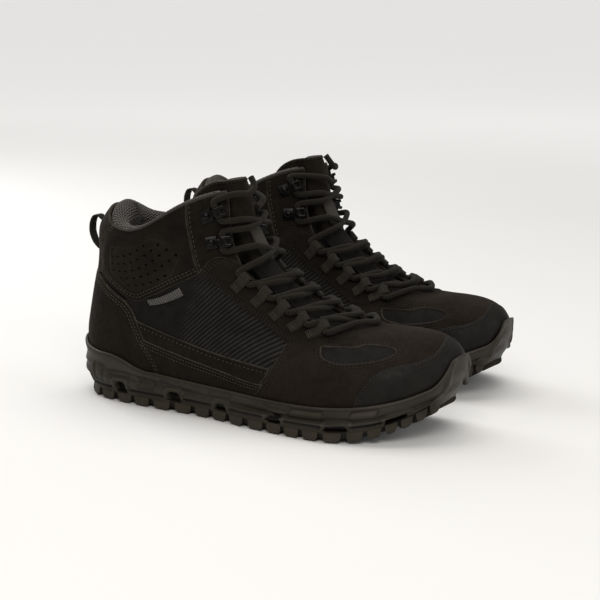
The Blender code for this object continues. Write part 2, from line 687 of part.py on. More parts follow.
# ---- padded lining
LINING_LOW, LINING_TOP, LINING_SPAN = 0.035, 1.1, 1.065      # rise of its edges
# share of the full thickness, as (rise, share)
LINING_SHARES = ((0.0, 0.45), (0.3, 0.5), (0.6, 0.8), (0.9, 1.0), (1.0, 0.9), (1.1, 0.45))
WELD_DISTANCE = 0.00005      # metres


def lining_surface(phi, rise):
    """The lining's outside: under the panels, then rolled inwards, highest at the heel."""
    turn = np.abs(signed_turn(phi))
    # deeper over the toes
    deeper = 3.0 * smooth_step(-turn, -32, -12) * smooth_step(-rise, -0.3, -0.18)
    points = off_surface(phi, np.minimum(rise, 1.0), -LINING_DEPTH - deeper)
    roll = np.clip((rise - 1.0) / 0.1, 0, 1) * math.pi / 2
    heel = np.exp(-(((180 - turn) / 42.0) ** 2))
    out = normal(phi, np.ones_like(rise))
    out[:, 2] = 0
    out /= np.linalg.norm(out, axis=1, keepdims=True)
    points -= out * ((4.5 + 9.5 * heel) * (1 - np.cos(roll)))[:, None]
    points[:, 2] += (2.2 + 7.0 * heel) * np.sin(roll)
    return points


def weld_with_weights(obj, weights):
    """Welds the mesh and returns each remaining vertex's weight, the nearest old one's."""
    weight_at = {tuple(np.round(np.array(vert.co), 6)): weight
                 for vert, weight in zip(obj.data.vertices, weights)}
    bm = bmesh.new()
    bm.from_mesh(obj.data)
    bmesh.ops.remove_doubles(bm, verts=bm.verts, dist=WELD_DISTANCE)
    bm.to_mesh(obj.data)
    bm.free()

    def nearest(spot):
        return min(weight_at, key=lambda at: sum((a - b) ** 2 for a, b in zip(at, spot)))

    return [weight_at[nearest(tuple(vert.co))] for vert in obj.data.vertices]


def build_lining(side):
    """Open along the throat, closed round the heel, where its two edges are welded."""
    outline = ring_of(
        level(-180, 180, 12, LINING_LOW),
        [(180, LINING_LOW + LINING_SPAN * i / 9) for i in range(10)],
        level(180, 39.5, 9, LINING_TOP),
        LINING_THROAT, back(mirrored(LINING_THROAT)),
        level(-39.5, -180, 9, LINING_TOP),
        [(-180, LINING_TOP - LINING_SPAN * i / 9) for i in range(10)])
    obj, rise = sheet_object("lining", side, outline, lining_surface, KNIT, 25.0)
    weights = weld_with_weights(obj, table(rise, *LINING_SHARES))
    thicken(obj, LINING_THICK, -1.0, weights)


# ---- tongue
# at the tongue's front end, in the middle of its thickness
TONGUE_PIVOT = tuple(off_surface(0.0, 0.405, -(TONGUE_DEPTH + TONGUE_THICK / 2)))


def tongue_surface(phi, rise):
    """The tongue's outside: under the throat, its upper wings tucked inside the collar."""
    tuck = 7.6 * smooth_step(np.abs(phi), 26, 37) * smooth_step(rise, 0.70, 0.80)
    points = off_surface(phi, np.minimum(rise, 1.0), -TONGUE_DEPTH - tuck)
    beyond = np.clip(rise - 1.0, 0, 1)[:, None]
    return points + beyond * np.array([-25.0, 0.0, 82.0])


def keeper_surface(phi, rise):
    return off_surface(phi, rise, -1.3)


def build_tongue(side):
    outline = ring_of(TONGUE_EDGE, back(mirrored(TONGUE_EDGE)))
    tongue, _ = sheet_object("tongue", side, outline, tongue_surface, NUBUCK, 19.0,
                             pivot=TONGUE_PIVOT)
    thicken(tongue, TONGUE_THICK, -1.0)
    keeper, _ = sheet_object("tongue_keeper", side, TONGUE_KEEPER, keeper_surface, CORD, 8.0,
                             pivot=TONGUE_PIVOT)
    thicken(keeper, 1.0, 1.0)


# ---- lace loops and hooks
LOOP_LIFT = PANEL + 0.9        # underside of the loops and their tape over the surface
LOOP_WALL = 0.9
LOOP_BORE = 2.7                # inner radius of the fold round the lace
LOOP_FOLD = LOOP_BORE + LOOP_WALL      # outer radius of the fold, and its centre's height
LOOP_WIDTH = 6.0
TAPE_OUTER, TAPE_INNER = 3.0, 1.5      # degrees from the sewn ends to the tape's edges
TAPE_END = 0.02                # how far the tape runs on past the end loops, as rise
HOOK_LIFT = PANEL + 0.8
HOOK_WIDTH = 9.0


class Frame(NamedTuple):
    """A local frame by the inner point of a loop or hook."""

    origin: np.ndarray
    inward: np.ndarray     # over the surface, from the outer point to the inner one
    out: np.ndarray        # away from the surface
    along: np.ndarray      # along the lace
    length: float          # from the outer point to the inner one

    def point(self, x, z, y):
        return self.origin + self.inward * x + self.out * z + self.along * y


def frame_at(outer, inner, lift, sign):
    """The frame for a pair of lateral (phi, rise) points, or their medial copies (sign -1)."""
    outer, inner = (sign * outer[0], outer[1]), (sign * inner[0], inner[1])
    middle = ((outer[0] + inner[0]) / 2, (outer[1] + inner[1]) / 2)
    out = normal(*middle)
    inward = off_surface(*inner, 0.0) - off_surface(*outer, 0.0)
    length = np.linalg.norm(inward)
    inward = inward - out * np.dot(inward, out)
    inward /= np.linalg.norm(inward)
    origin = off_surface(*middle, lift) + inward * length / 2
    return Frame(origin, inward, out, np.cross(out, inward), length)


def extruded(name, side, frame, profile, width, look):
    """A profile in the frame's (inward, out) plane, given width along the lace."""
    points = [frame.point(x, z, end * width / 2) for end in (-1, 1) for x, z in profile]
    k = len(profile)
    faces = [tuple(range(k)), tuple(range(2 * k - 1, k - 1, -1))]
    faces += [(i, k + i, k + (i + 1) % k, (i + 1) % k) for i in range(k)]
    return closed_object(name, side, points, faces, look)


def loop_profile(length):
    """Lower leg, fold round the lace, upper leg, and back along the inside."""
    def arc(radius, degrees):
        return [(radius * math.cos(angle), LOOP_FOLD + radius * math.sin(angle))
                for angle in np.radians(degrees)]

    return ([(-length - 1.0, 0.0), (0.0, 0.0)] + arc(LOOP_FOLD, [-45, 15, 75])
            + [(-2.6, 7.5), (-7.5, 5.6), (-7.5, 4.7), (-2.6, 6.6)]
            + arc(LOOP_BORE, [75, 15, -45]) + [(0.0, LOOP_WALL), (-length - 1.0, LOOP_WALL)])


def hook_profile(rivet):
    """A plate with a raised rivet, then a neck and a cap that holds the lace down."""
    return [(rivet - 5.0, 0), (3.4, 0), (4.4, 1.0), (4.4, 6.9), (3.4, 7.9), (-3.2, 7.9),
            (-3.6, 6.5), (2.2, 6.5), (2.2, 1.1), (rivet + 4.0, 1.1), (rivet + 2.2, 2.8),
            (rivet - 2.2, 2.8), (rivet - 4.0, 1.1), (rivet - 5.0, 1.1)]


def tape_edge(line, shift, lift):
    """The line of sewn ends moved by shift and lift, run on at both ends."""
    edge = [(phi + shift, rise + lift) for phi, rise in line]
    edge[0] = (edge[0][0], edge[0][1] + TAPE_END)
    edge[-1] = (edge[-1][0], edge[-1][1] - TAPE_END)
    return edge


def build_loops(side, hand, sign):
    """A tape under the sewn ends, with the lace loops joined to it."""
    sewn = [(sign * phi, rise) for phi, rise in LOOP_OUTER]
    outline = ring_of(tape_edge(sewn, sign * TAPE_OUTER, 0.01),
                      back(tape_edge(sewn, -sign * TAPE_INNER, 0.0)))
    tape = panel("lace_loops_" + hand, side, outline, CORD, 9.0, lift=LOOP_LIFT,
                 thickness=1.0, gap=0.0)
    for k, (outer, inner) in enumerate(zip(LOOP_OUTER, LOOP_INNER)):
        frame = frame_at(outer, inner, LOOP_LIFT, sign)
        join = tape.modifiers.new(f"loop_{k}", "BOOLEAN")
        join.operation = "UNION"
        join.object = extruded(f"loop_{hand}_{k}", side, frame, loop_profile(frame.length),
                               LOOP_WIDTH, None)


def build_hooks(side, hand, sign):
    for place, (rivet, tip) in HOOKS.items():
        frame = frame_at(rivet, tip, HOOK_LIFT, sign)
        extruded(f"hook_{hand}_{place}", side, frame, hook_profile(-frame.length),
                 HOOK_WIDTH, HOOK)


# ---- lace
LACE_UNDER, LACE_OVER = 0.7, 5.4       # lifts on the ridge where the two halves cross
LACE_HOOK_CROSSING = LACE_UNDER + 1.9  # the same, above the loops
LACE_IN_LOOP = LOOP_LIFT + LOOP_FOLD
LACE_IN_HOOK = PANEL + 4.3
LACE_STEPS = 2                         # between each two guide points


def through(frame, x, before, after, sign):
    """The lace through a loop or hook, climbing."""
    return [frame.point(x, 0, sign * y) for y in (-before, 0, after)]


def through_loop(k, sign):
    frame = frame_at(LOOP_OUTER[k], LOOP_INNER[k], LACE_IN_LOOP, sign)
    return through(frame, 0, 6.4, 6.4, sign)


def through_hook(place, after, sign):
    frame = frame_at(*HOOKS[place], LACE_IN_HOOK, sign)
    return through(frame, -0.6, 7.0, after, sign)


def crossing(sign, phi, rises, side_lift, middle_lift):
    """The lace over the ridge, from the side of the sign to the other."""
    return [off_surface(sign * phi, rises[0], side_lift),
            off_surface(0.0, rises[1], middle_lift),
            off_surface(-sign * phi, rises[2], side_lift)]


def lace_half(start):
    """Climbs from the front loop on side `start`, crossing over at every row."""
    sign = start
    line = through_loop(4, sign)
    for k in (3, 2, 1, 0):
        low, high = LOOP_INNER[k + 1][1], LOOP_INNER[k][1]
        rises = (0.62 * low + 0.38 * high, (low + high) / 2 + 0.004, 0.38 * low + 0.62 * high)
        lift = LACE_UNDER if (k % 2 == 1) == (start > 0) else LACE_OVER
        line += crossing(sign, 20, rises, 5.0, lift)
        sign = -sign
        line += through_loop(k, sign)
    line += crossing(sign, 22, (0.765, 0.79, 0.815), 5.8, LACE_HOOK_CROSSING)
    line += through_hook("lower", 7.0, -sign)
    line += crossing(-sign, 21, (0.878, 0.893, 0.908), 5.8, LACE_HOOK_CROSSING)
    return line + through_hook("upper", 8.5, sign)


def lace_line():
    """One lace: from its lateral end down to the front bar, and up to its medial end."""
    lateral = lace_half(1) + [
        off_surface(26, 0.993, 6.4), off_surface(13, 0.988, 6.2),
        off_surface(3, 1.0, 5.8) + np.array([0, 0, 1.0]),
        off_surface(0, 1.0, 5.4) + np.array([-4.0, 0, 7.5])]
    front = crossing(1, 20, (0.385, 0.374, 0.385), 5.6, 4.9)
    medial = lace_half(-1) + [off_surface(-14, 0.962, 6.4), off_surface(-4, 0.945, 5.4),
                              off_surface(4, 0.94, 4.9)]
    return catmull(lateral[::-1] + front + medial, LACE_STEPS)


def catmull(points, per):
    """A smooth line through the points, with per steps between each two."""
    p = np.array(points, float)
    p = np.concatenate([[2 * p[0] - p[1]], p, [2 * p[-1] - p[-2]]])
    out = []
    for a, b, c, d in zip(p, p[1:], p[2:], p[3:]):
        for k in range(per):
            t = k / per
            out.append(0.5 * ((2 * b) + (c - a) * t + (2 * a - 5 * b + 4 * c - d) * t**2
                              + (3 * b - a - 3 * c + d) * t**3))
    out.append(p[-2])
    return out


def build_lace(side):
    """A round cord: a poly curve with a bevel and filled caps."""
    name = f"{side}_lace"
    curve = bpy.data.curves.new(name, "CURVE")
    curve.dimensions = "3D"
    poly = curve.splines.new("POLY")
    path = world(lace_line(), side)
    poly.points.add(len(path) - 1)
    for point, place in zip(poly.points, path):
        point.co = (*place, 1.0)
    curve.bevel_depth = LACE_RADIUS * MM
    curve.bevel_resolution = 1
    curve.use_fill_caps = True
    PARTS.objects.link(bpy.data.objects.new(name, curve))
    add_material(curve, name, CORD)


# ---- pull loop: distance behind the backstay, z, and half-width, from the top end down
PULL_LOOP = ((1.0, 132.5, 1.6), (4.0, 134.8, 3.4), (7.8, 134.0, 5.0), (10.2, 129.0, 5.5),
             (10.4, 122.0, 5.5), (8.0, 115.5, 5.0), (4.5, 111.4, 3.4), (1.4, 109.0, 1.6))
PULL_LOOP_THICK = 1.5


def build_pull_loop(side):
    """An upright webbing loop at the heel, narrowed at its ends."""
    top, low = off_surface(180.0, 0.90, PANEL), off_surface(180.0, 0.72, PANEL)
    back_x = min(top[0], low[0])
    line = np.array([(back_x - behind, z) for behind, z, _ in PULL_LOOP])
    run = np.gradient(line, axis=0)
    run /= np.linalg.norm(run, axis=1, keepdims=True)
    offset = np.stack([-run[:, 1], run[:, 0]], 1) * PULL_LOOP_THICK / 2
    points, faces = [], []
    for (x, z), (dx, dz), (_, _, half) in zip(line, offset, PULL_LOOP):
        for y, face in ((-half, -1), (half, -1), (half, 1), (-half, 1)):
            points.append((x + face * dx, y, z + face * dz))
    for i in range(len(line) - 1):
        for j in range(4):
            k = (j + 1) % 4
            faces.append((4 * i + j, 4 * i + k, 4 * i + 4 + k, 4 * i + 4 + j))
    last = 4 * (len(line) - 1)
    faces += [(3, 2, 1, 0), (last, last + 1, last + 2, last + 3)]
    closed_object("pull_loop", side, points, faces, CORD, tuple((top + low) / 2))


def build_boot(side):
    build_midsole(side)
    build_outsole(side)
    build_insole(side)
    build_forefoot(side)
    build_heel(side)
    build_flanks(side)
    build_lining(side)
    build_tongue(side)
    for hand, sign in (("lateral", 1), ("medial", -1)):
        build_loops(side, hand, sign)
        build_hooks(side, hand, sign)
    build_lace(side)
    build_pull_loop(side)


for boot in ("right", "left"):
    build_boot(boot)
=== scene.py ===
# A pair of mid-cut hiking boots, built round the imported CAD. Lengths are in millimetres in one
# boot's own frame: x from heel to toe, the right boot's lateral side at -y, z up. Each piece is
# built once and placed twice, the left boot being the mirror image.
#
# The upper is one smooth surface upper(phi, rise): phi is the angle round the foot in degrees
# (0 at the toe, 180 at the heel, positive on the lateral side), rise runs from the feather line,
# where the upper meets the sole (0), to the collar edge (1).
import math
from collections import namedtuple
from functools import cached_property

import bmesh
import bpy
import numpy as np
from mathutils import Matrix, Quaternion, Vector
from mathutils.geometry import delaunay_2d_cdt
from mathutils.kdtree import KDTree

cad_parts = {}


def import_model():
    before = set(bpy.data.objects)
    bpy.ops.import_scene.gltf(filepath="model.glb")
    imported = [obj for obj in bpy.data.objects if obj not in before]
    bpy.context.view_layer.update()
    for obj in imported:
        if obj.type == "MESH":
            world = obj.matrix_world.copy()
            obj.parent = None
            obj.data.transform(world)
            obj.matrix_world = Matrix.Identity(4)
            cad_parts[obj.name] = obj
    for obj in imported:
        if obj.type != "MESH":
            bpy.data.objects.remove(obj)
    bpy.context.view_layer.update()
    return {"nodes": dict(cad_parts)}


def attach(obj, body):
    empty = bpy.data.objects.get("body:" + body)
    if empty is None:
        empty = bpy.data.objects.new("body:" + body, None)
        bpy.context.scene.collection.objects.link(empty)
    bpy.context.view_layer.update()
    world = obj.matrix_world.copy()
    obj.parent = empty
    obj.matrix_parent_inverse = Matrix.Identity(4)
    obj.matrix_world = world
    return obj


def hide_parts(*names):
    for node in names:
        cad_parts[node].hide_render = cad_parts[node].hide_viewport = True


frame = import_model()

MM = 0.001
LEFT_YAW = -4.68                  # degrees the left boot is turned by
LEFT_AT = (-12.1, 166.5)          # and its shift in x, y
PAIR_CENTRE = (139.68, 74.53)     # x, y of the pair's middle in the right boot's frame
HANDS = (("lateral", 1), ("medial", -1))

# How far the outer face of each layer stands off the upper's surface
QUARTER_OUT = 0.9
WINDOW_OUT = 0.15
VAMP_OUT = 1.4
COLLAR_OUT = 1.5
FACING_OUT = 1.5
STRAP_OUT = 1.7
FOXING_OUT = 2.3
EYESTAY_OUT = 2.1
TOE_OUT = 1.9
COUNTER_OUT = 2.2
BACKSTAY_OUT = 1.8

PANEL = 1.5                       # panel thickness that the lace hardware stands on
LACE_RADIUS = 2.2
LACE_OVER_LOOPS = PANEL + 0.9 + 3.6    # lace centre above the surface, in the webbing loops
LACE_OVER_HOOKS = PANEL + 0.5 + 3.8    # and in the hooks

QUARTER_SPACING = 0.55
LINING_COLS = 460


# ---- smooth curves
def spline(knots, values, x):
    """Natural cubic spline through values(knots), evaluated at x."""
    knots = np.asarray(knots, float)
    values = np.asarray(values, float)
    single = values.ndim == 1
    if single:
        values = values[:, None]
    count, gap = len(knots), np.diff(knots)
    system, right = np.zeros((count, count)), np.zeros((count, values.shape[1]))
    system[0, 0] = system[-1, -1] = 1.0
    slope = np.diff(values, axis=0) / gap[:, None]
    for i in range(1, count - 1):
        system[i, i - 1:i + 2] = gap[i - 1], 2 * (gap[i - 1] + gap[i]), gap[i]
        right[i] = 6 * (slope[i] - slope[i - 1])
    bend = np.linalg.solve(system, right)
    x = np.clip(np.asarray(x, float), knots[0], knots[-1])
    k = np.clip(np.searchsorted(knots, x, side="right") - 1, 0, count - 2)
    width = gap[k][..., None]
    before, after = (x - knots[k])[..., None], (knots[k + 1] - x)[..., None]
    out = (bend[k] * after**3 + bend[k + 1] * before**3) / (6 * width)
    out = out + (values[k] / width - bend[k] * width / 6) * after
    out = out + (values[k + 1] / width - bend[k + 1] * width / 6) * before
    return out[..., 0] if single else out


def lengths(points):
    """Length along a line of points, from 0."""
    return np.concatenate([[0], np.cumsum(np.linalg.norm(np.diff(points, axis=0), axis=1))])


def chord(points):
    total = lengths(np.asarray(points, float))
    return total / total[-1]


def resample(x, knots, columns):
    """Linear interpolation of every column at x."""
    columns = np.asarray(columns)
    return np.stack([np.interp(x, knots, columns[:, k]) for k in range(columns.shape[1])], -1)


class Curve:
    """A smooth curve through given points, even in arc length from 0 to 1."""

    def __init__(self, points):
        points = np.asarray(points, float)
        self.points = spline(chord(points), points, np.linspace(0, 1, 400))
        self.chord = chord(self.points)

    def __call__(self, part):
        return resample(np.clip(np.asarray(part, float), 0, 1), self.chord, self.points)


def catmull(points, per):
    """A smooth line through the points, with per steps between each two."""
    points = np.array(points, float)
    first, last = 2 * points[0] - points[1], 2 * points[-1] - points[-2]
    points = np.concatenate([[first], points, [last]])
    out = []
    for i in range(1, len(points) - 2):
        before, start, end, after = points[i - 1:i + 3]
        for k in range(per):
            x = k / per
            square = (2 * before - 5 * start + 4 * end - after) * x**2
            cube = (3 * start - before - 3 * end + after) * x**3
            out.append(0.5 * ((2 * start) + (end - before) * x + square + cube))
    out.append(points[-2])
    return np.array(out)


def ease(x, low, high):
    """0 below low, 1 above high, smooth between."""
    part = np.clip((np.asarray(x, float) - low) / (high - low), 0, 1)
    return part * part * (3 - 2 * part)


def fall(x, low, high):
    """1 below low, 0 above high, smooth between."""
    return 1 - ease(x, low, high)


def table(x, *pairs):
    """Linear interpolation in a table of (x, value) pairs."""
    stations, values = zip(*pairs)
    return np.interp(x, stations, values)


def unit(vectors):
    """Rows of vectors scaled to length 1."""
    return vectors / np.maximum(np.linalg.norm(vectors, axis=-1, keepdims=True), 1e-9)


# ---- the lasted shape: four profile curves in the side view, as (x, z)
FEATHER = Curve([
    (1, 31), (40, 28), (90, 24), (140, 20), (190, 18), (235, 21), (267, 29), (291, 41)])
COLLAR = Curve([
    (14.5, 139.5), (21, 136.5), (31, 133), (47, 131), (65, 137), (85, 149), (101, 157),
    (116, 162), (129, 164)])
HEEL = Curve([
    (1, 31), (-2, 47), (0, 64), (4, 86), (7.5, 106), (8, 121), (9.5, 132), (14.5, 139.5)])
RIDGE = Curve([
    (291, 41), (294.5, 51), (290, 63), (278, 70.3), (258, 73.5), (236, 76), (213, 79),
    (190, 85.5), (168, 97.5), (151, 113.5), (140, 130), (133, 147), (129, 164)])
# The toe turns inwards: y of the centre line at even steps from heel to toe
MIDLINE = [0.0, 0.0, 0.5, 3.0, 8.0]

# Half-width factors: a column for each station from heel (0) to toe (1), a row for each rise
RUN_STATIONS = [0.0, 0.12, 0.3, 0.45, 0.6, 0.75, 0.88, 1.0]
RISE_STATIONS = [0.0, 0.12, 0.25, 0.4, 0.6, 0.8, 1.0]
WIDTHS_HIGH = [
    [44, 39, 34, 32, 31, 33, 36, 38],
    [41, 39, 36, 35, 34, 34, 34, 34],
    [39, 38, 36, 35, 35, 35, 35, 35],
]
WIDTHS_LATERAL = [
    [56, 43, 38, 38, 46, 58, 68, 74],
    [58, 46, 41, 40, 47, 57, 64, 66],
    [54, 45, 40, 38, 42, 47, 51, 53],
    [50, 42, 36, 34, 34, 38, 42, 44],
] + WIDTHS_HIGH
WIDTHS_MEDIAL = [
    [56, 42, 34, 32, 38, 46, 58, 66],
    [58, 45, 38, 36, 41, 47, 56, 60],
    [54, 44, 37, 35, 39, 44, 48, 50],
    [50, 42, 35, 33, 34, 38, 42, 44],
] + WIDTHS_HIGH
RISE_CELLS, RUN_CELLS = 120, 160


def dense(rows):
    """A width table, splined both ways onto a fine grid."""
    runs = np.linspace(0, 1, RUN_CELLS + 1)
    across = spline(RUN_STATIONS, np.asarray(rows, float).T, runs)
    return spline(RISE_STATIONS, across.T, np.linspace(0, 1, RISE_CELLS + 1))


LATERAL_GRID, MEDIAL_GRID = dense(WIDTHS_LATERAL), dense(WIDTHS_MEDIAL)


def look_up(grid, rise, run):
    row, col = np.clip(rise, 0, 1) * RISE_CELLS, np.clip(run, 0, 1) * RUN_CELLS
    i = np.minimum(row.astype(int), RISE_CELLS - 1)
    j = np.minimum(col.astype(int), RUN_CELLS - 1)
    row, col = row - i, col - j
    low = grid[i, j] * (1 - row) * (1 - col) + grid[i + 1, j] * row * (1 - col)
    return low + grid[i, j + 1] * (1 - row) * col + grid[i + 1, j + 1] * row * col


def midline(run):
    return spline(np.linspace(0, 1, 5), MIDLINE, run)


def signed_turn(phi):
    """phi brought into -180 .. 180."""
    return np.mod(np.asarray(phi, float) + 180, 360) - 180


def from_toe(phi):
    return np.abs(signed_turn(phi))


def upper(phi, rise):
    """Points of the upper: a Coons patch of the profiles, widened by the width tables."""
    phi, rise = np.broadcast_arrays(np.asarray(phi, float), np.asarray(rise, float))
    shape, phi, rise = phi.shape, phi.ravel(), rise.ravel()
    turn = signed_turn(phi)
    side = np.where(turn >= 0, 1.0, -1.0)
    angle = np.radians(np.abs(turn))
    run = (1 + np.cos(angle)) / 2
    to_toe, up = run[:, None], rise[:, None]
    to_heel, down = 1 - to_toe, 1 - up
    xz = down * FEATHER(run) + up * COLLAR(run) + to_heel * HEEL(rise) + to_toe * RIDGE(rise)
    xz = xz - (to_heel * down * FEATHER(0.0) + to_toe * down * FEATHER(1.0)
               + to_heel * up * COLLAR(0.0) + to_toe * up * COLLAR(1.0))
    # the instep is flattened under the first lace rows
    xz[:, 1] -= 6.3 * np.exp(-(((rise - 0.40) / 0.12) ** 2) - (turn / 26.0) ** 2)
    lateral, medial_half = look_up(LATERAL_GRID, rise, run), look_up(MEDIAL_GRID, rise, run)
    half = np.where(side > 0, lateral, medial_half)
    middle = midline(run) * np.clip(1 - 0.9 * rise, 0, 1)
    y = middle - side * np.sin(angle) * half
    return np.stack([xz[:, 0], y, xz[:, 1]], -1).reshape(shape + (3,))


def normal(phi, rise):
    """Outward unit normal of the upper."""
    phi, rise = np.asarray(phi, float), np.clip(np.asarray(rise, float), 0.0, 1.0)
    across = upper(phi + 0.5, rise) - upper(phi - 0.5, rise)
    low, high = np.maximum(rise - 0.006, 0.0), np.minimum(rise + 0.006, 1.0)
    return unit(np.cross(upper(phi, high) - upper(phi, low), across))


def off_surface(phi, rise, out):
    out = np.asarray(out, float)
    return upper(phi, rise) + normal(phi, rise) * (out[..., None] if out.ndim else out)


def metric(phi, rise):
    """The surface's two tangent vectors, per degree and per unit of rise."""
    phi, rise = np.asarray(phi, float), np.clip(np.asarray(rise, float), 0.004, 0.996)
    across = (upper(phi + 0.3, rise) - upper(phi - 0.3, rise)) / 0.6
    up = (upper(phi, rise + 0.004) - upper(phi, rise - 0.004)) / 0.008
    return across, up


def plan_normal(phi):
    """Outward unit normal of the feather line in plan."""
    along = upper(np.asarray(phi) + 1.0, 0.0) - upper(np.asarray(phi) - 1.0, 0.0)
    out = np.stack([-along[..., 1], along[..., 0], 0 * along[..., 0]], -1)
    return out / np.linalg.norm(out, axis=-1, keepdims=True)


def plan(phi, out, z):
    """A point at distance out beyond the feather line in plan, at height z."""
    points = upper(phi, 0.0) + plan_normal(phi) * np.asarray(out, float)[..., None]
    points[..., 2] = z
    return points


def tongue_surface(phi, rise):
    """The tongue's outside: under the throat, its upper wings tucked inside the collar."""
    phi, rise = np.asarray(phi, float), np.asarray(rise, float)
    out = -2.7 - 7.6 * ease(np.abs(phi), 26, 37) * ease(rise, 0.70, 0.80)
    lean = np.clip(rise - 1.0, 0, 1)[:, None]
    return off_surface(phi, np.minimum(rise, 1.0), out) + lean * np.array([-25.0, 0.0, 82.0])


# ---- lines on the upper, as lists of (phi, rise)
def between(x, start, end, first, last):
    return (end - x) / (end - start) * first + (x - start) / (end - start) * last


def soft(line, spacing=1.0):
    """The line smoothed: a centripetal Catmull-Rom curve through its points."""
    points = np.array(line, float)
    scale = np.array([1.4, 140.0])     # mean millimetres per degree and per unit of rise
    knots = points * scale
    first, last = 2 * knots[0] - knots[1], 2 * knots[-1] - knots[-2]
    knots = np.concatenate([[first], knots, [last]])
    gaps = np.linalg.norm(np.diff(knots, axis=0), axis=1)
    time = np.concatenate([[0], np.cumsum(np.sqrt(gaps))])
    out = []
    for i in range(1, len(knots) - 2):
        count = max(2, int(np.linalg.norm(knots[i + 1] - knots[i]) / spacing))
        x = np.linspace(time[i], time[i + 1], count, endpoint=False)[:, None]
        near = [between(x, time[k], time[k + 1], knots[k], knots[k + 1])
                for k in (i - 1, i, i + 1)]
        wide = [between(x, time[i - 1 + k], time[i + 1 + k], near[k], near[k + 1])
                for k in (0, 1)]
        out += [tuple(row) for row in between(x, time[i], time[i + 1], *wide) / scale]
    out.append(tuple(points[-1]))
    return out


def beside(line, distance):
    """The line moved some millimetres across the surface: to its left seen from outside."""
    line = np.array(line, float)
    across, up = metric(line[:, 0], line[:, 1])
    step = np.gradient(line, axis=0)
    along = unit(across * step[:, :1] + up * step[:, 1:])
    out = normal(line[:, 0], np.clip(line[:, 1], 0, 1))
    move = np.cross(out, along) * distance
    aa, ab, bb = (across * across).sum(1), (across * up).sum(1), (up * up).sum(1)
    move_a, move_b = (across * move).sum(1), (up * move).sum(1)
    det = aa * bb - ab * ab
    phi = line[:, 0] + (bb * move_a - ab * move_b) / det
    return np.stack([phi, line[:, 1] + (aa * move_b - ab * move_a) / det], 1)


def medial(line):
    """The line on the medial side."""
    return [(-phi, rise) for phi, rise in line]


def past_heel(line):
    """The medial copy of a line near the heel, on the same sheet as the lateral one."""
    return [(360 - phi, rise) for phi, rise in line]


def level(rise, start, end):
    """Points from start to end in phi at one rise."""
    count = max(2, int(abs(end - start) * 2 / 1.5))
    return [(start + (end - start) * i / count, rise) for i in range(count + 1)]


def inward(line, inner_point):
    """Which way (1 or -1) beside() moves the line towards a point inside the panel."""
    k = len(line) // 2
    here = np.array(line[k])
    scale = np.array([np.linalg.norm(vector) for vector in metric(*line[k])])
    move = (beside(line, 1.0)[k] - here) * scale
    return 1.0 if ((np.array(inner_point) - here) * scale) @ move > 0 else -1.0


# Seam lines of the lateral side
COLLAR_FACING = soft([(65, 1.0), (65.5, 0.935), (66, 0.87), (68, 0.805), (69.5, 0.745)])
EYESTAY_TOP = soft([
    (69.5, 0.745), (63.5, 0.77), (56, 0.793), (50, 0.793), (45, 0.778), (39, 0.755)])
FACING_FRONT = soft([
    (39, 0.755), (38, 0.80), (36, 0.85), (33, 0.905), (30.5, 0.955), (29.5, 1.0)])
COLLAR_LOW = soft([
    (151, 0.62), (139.5, 0.592), (130, 0.567), (122, 0.553), (117, 0.566), (108.5, 0.622),
    (92.5, 0.692), (77, 0.73), (69.5, 0.745)])
EYESTAY_REAR = soft([
    (69.5, 0.745), (63, 0.69), (62, 0.64), (60.5, 0.595), (58, 0.55), (57.5, 0.485),
    (59, 0.405), (60, 0.357)])
EYESTAY_FRONT = soft([
    (60, 0.357), (51.5, 0.33), (44.5, 0.302), (41.5, 0.28), (36, 0.285), (29, 0.318),
    (22, 0.338), (11, 0.345), (0, 0.347)])
EYESTAY_THROAT = soft([
    (39, 0.755), (35.5, 0.68), (32.5, 0.58), (30, 0.5), (26, 0.435), (16, 0.402), (0, 0.392)])
VAMP_TOP = soft([(60, 0.357), (66, 0.29), (72, 0.22), (77.5, 0.156)])
VAMP_LOW = soft([(77.5, 0.156), (81, 0.11), (85, 0.06), (87.5, 0.0)])
STRAP_TOP = soft([
    (122.5, 0.39), (113, 0.352), (101.5, 0.282), (95.5, 0.235), (88, 0.197), (77.5, 0.156)])
FOXING_TOP = soft([
    (122, 0.245), (111.5, 0.188), (106.5, 0.155), (96.5, 0.108), (89, 0.082), (83.5, 0.075)])
COUNTER_TOP = soft([
    (180, 0.6), (165, 0.598), (151, 0.59), (143, 0.57), (134.5, 0.547), (127, 0.522)])
COUNTER_FRONT = soft([
    (127, 0.522), (124, 0.48), (122.5, 0.39), (121.5, 0.30), (120.5, 0.21), (119.5, 0.12),
    (118.5, 0.0)])
BACKSTAY = soft([
    (128.5, 1.0), (138, 0.93), (146, 0.845), (151.5, 0.75), (152, 0.68), (151, 0.62)])
TOE_EDGE = soft([
    (54.5, 0.0), (53.5, 0.055), (49, 0.095), (43, 0.12), (35.5, 0.122), (27.5, 0.112),
    (19.5, 0.112), (10, 0.13), (0, 0.15)])
WINDOW = soft([
    (49.5, 0.303), (53, 0.262), (55, 0.222), (53, 0.187), (47, 0.172), (37.5, 0.163),
    (31, 0.172), (29.8, 0.19), (31, 0.222), (34.5, 0.258), (40, 0.258), (44, 0.28),
    (49.5, 0.303)])[:-1]

VAMP_REAR = VAMP_TOP + VAMP_LOW[1:]
WINDOW_LOOP = WINDOW + WINDOW[:1]
EYESTAY_OUTER = EYESTAY_REAR + EYESTAY_FRONT[1:]
COUNTER_EDGE = COUNTER_TOP + COUNTER_FRONT[1:]
TOE_WHOLE = TOE_EDGE + medial(TOE_EDGE)[::-1][1:]

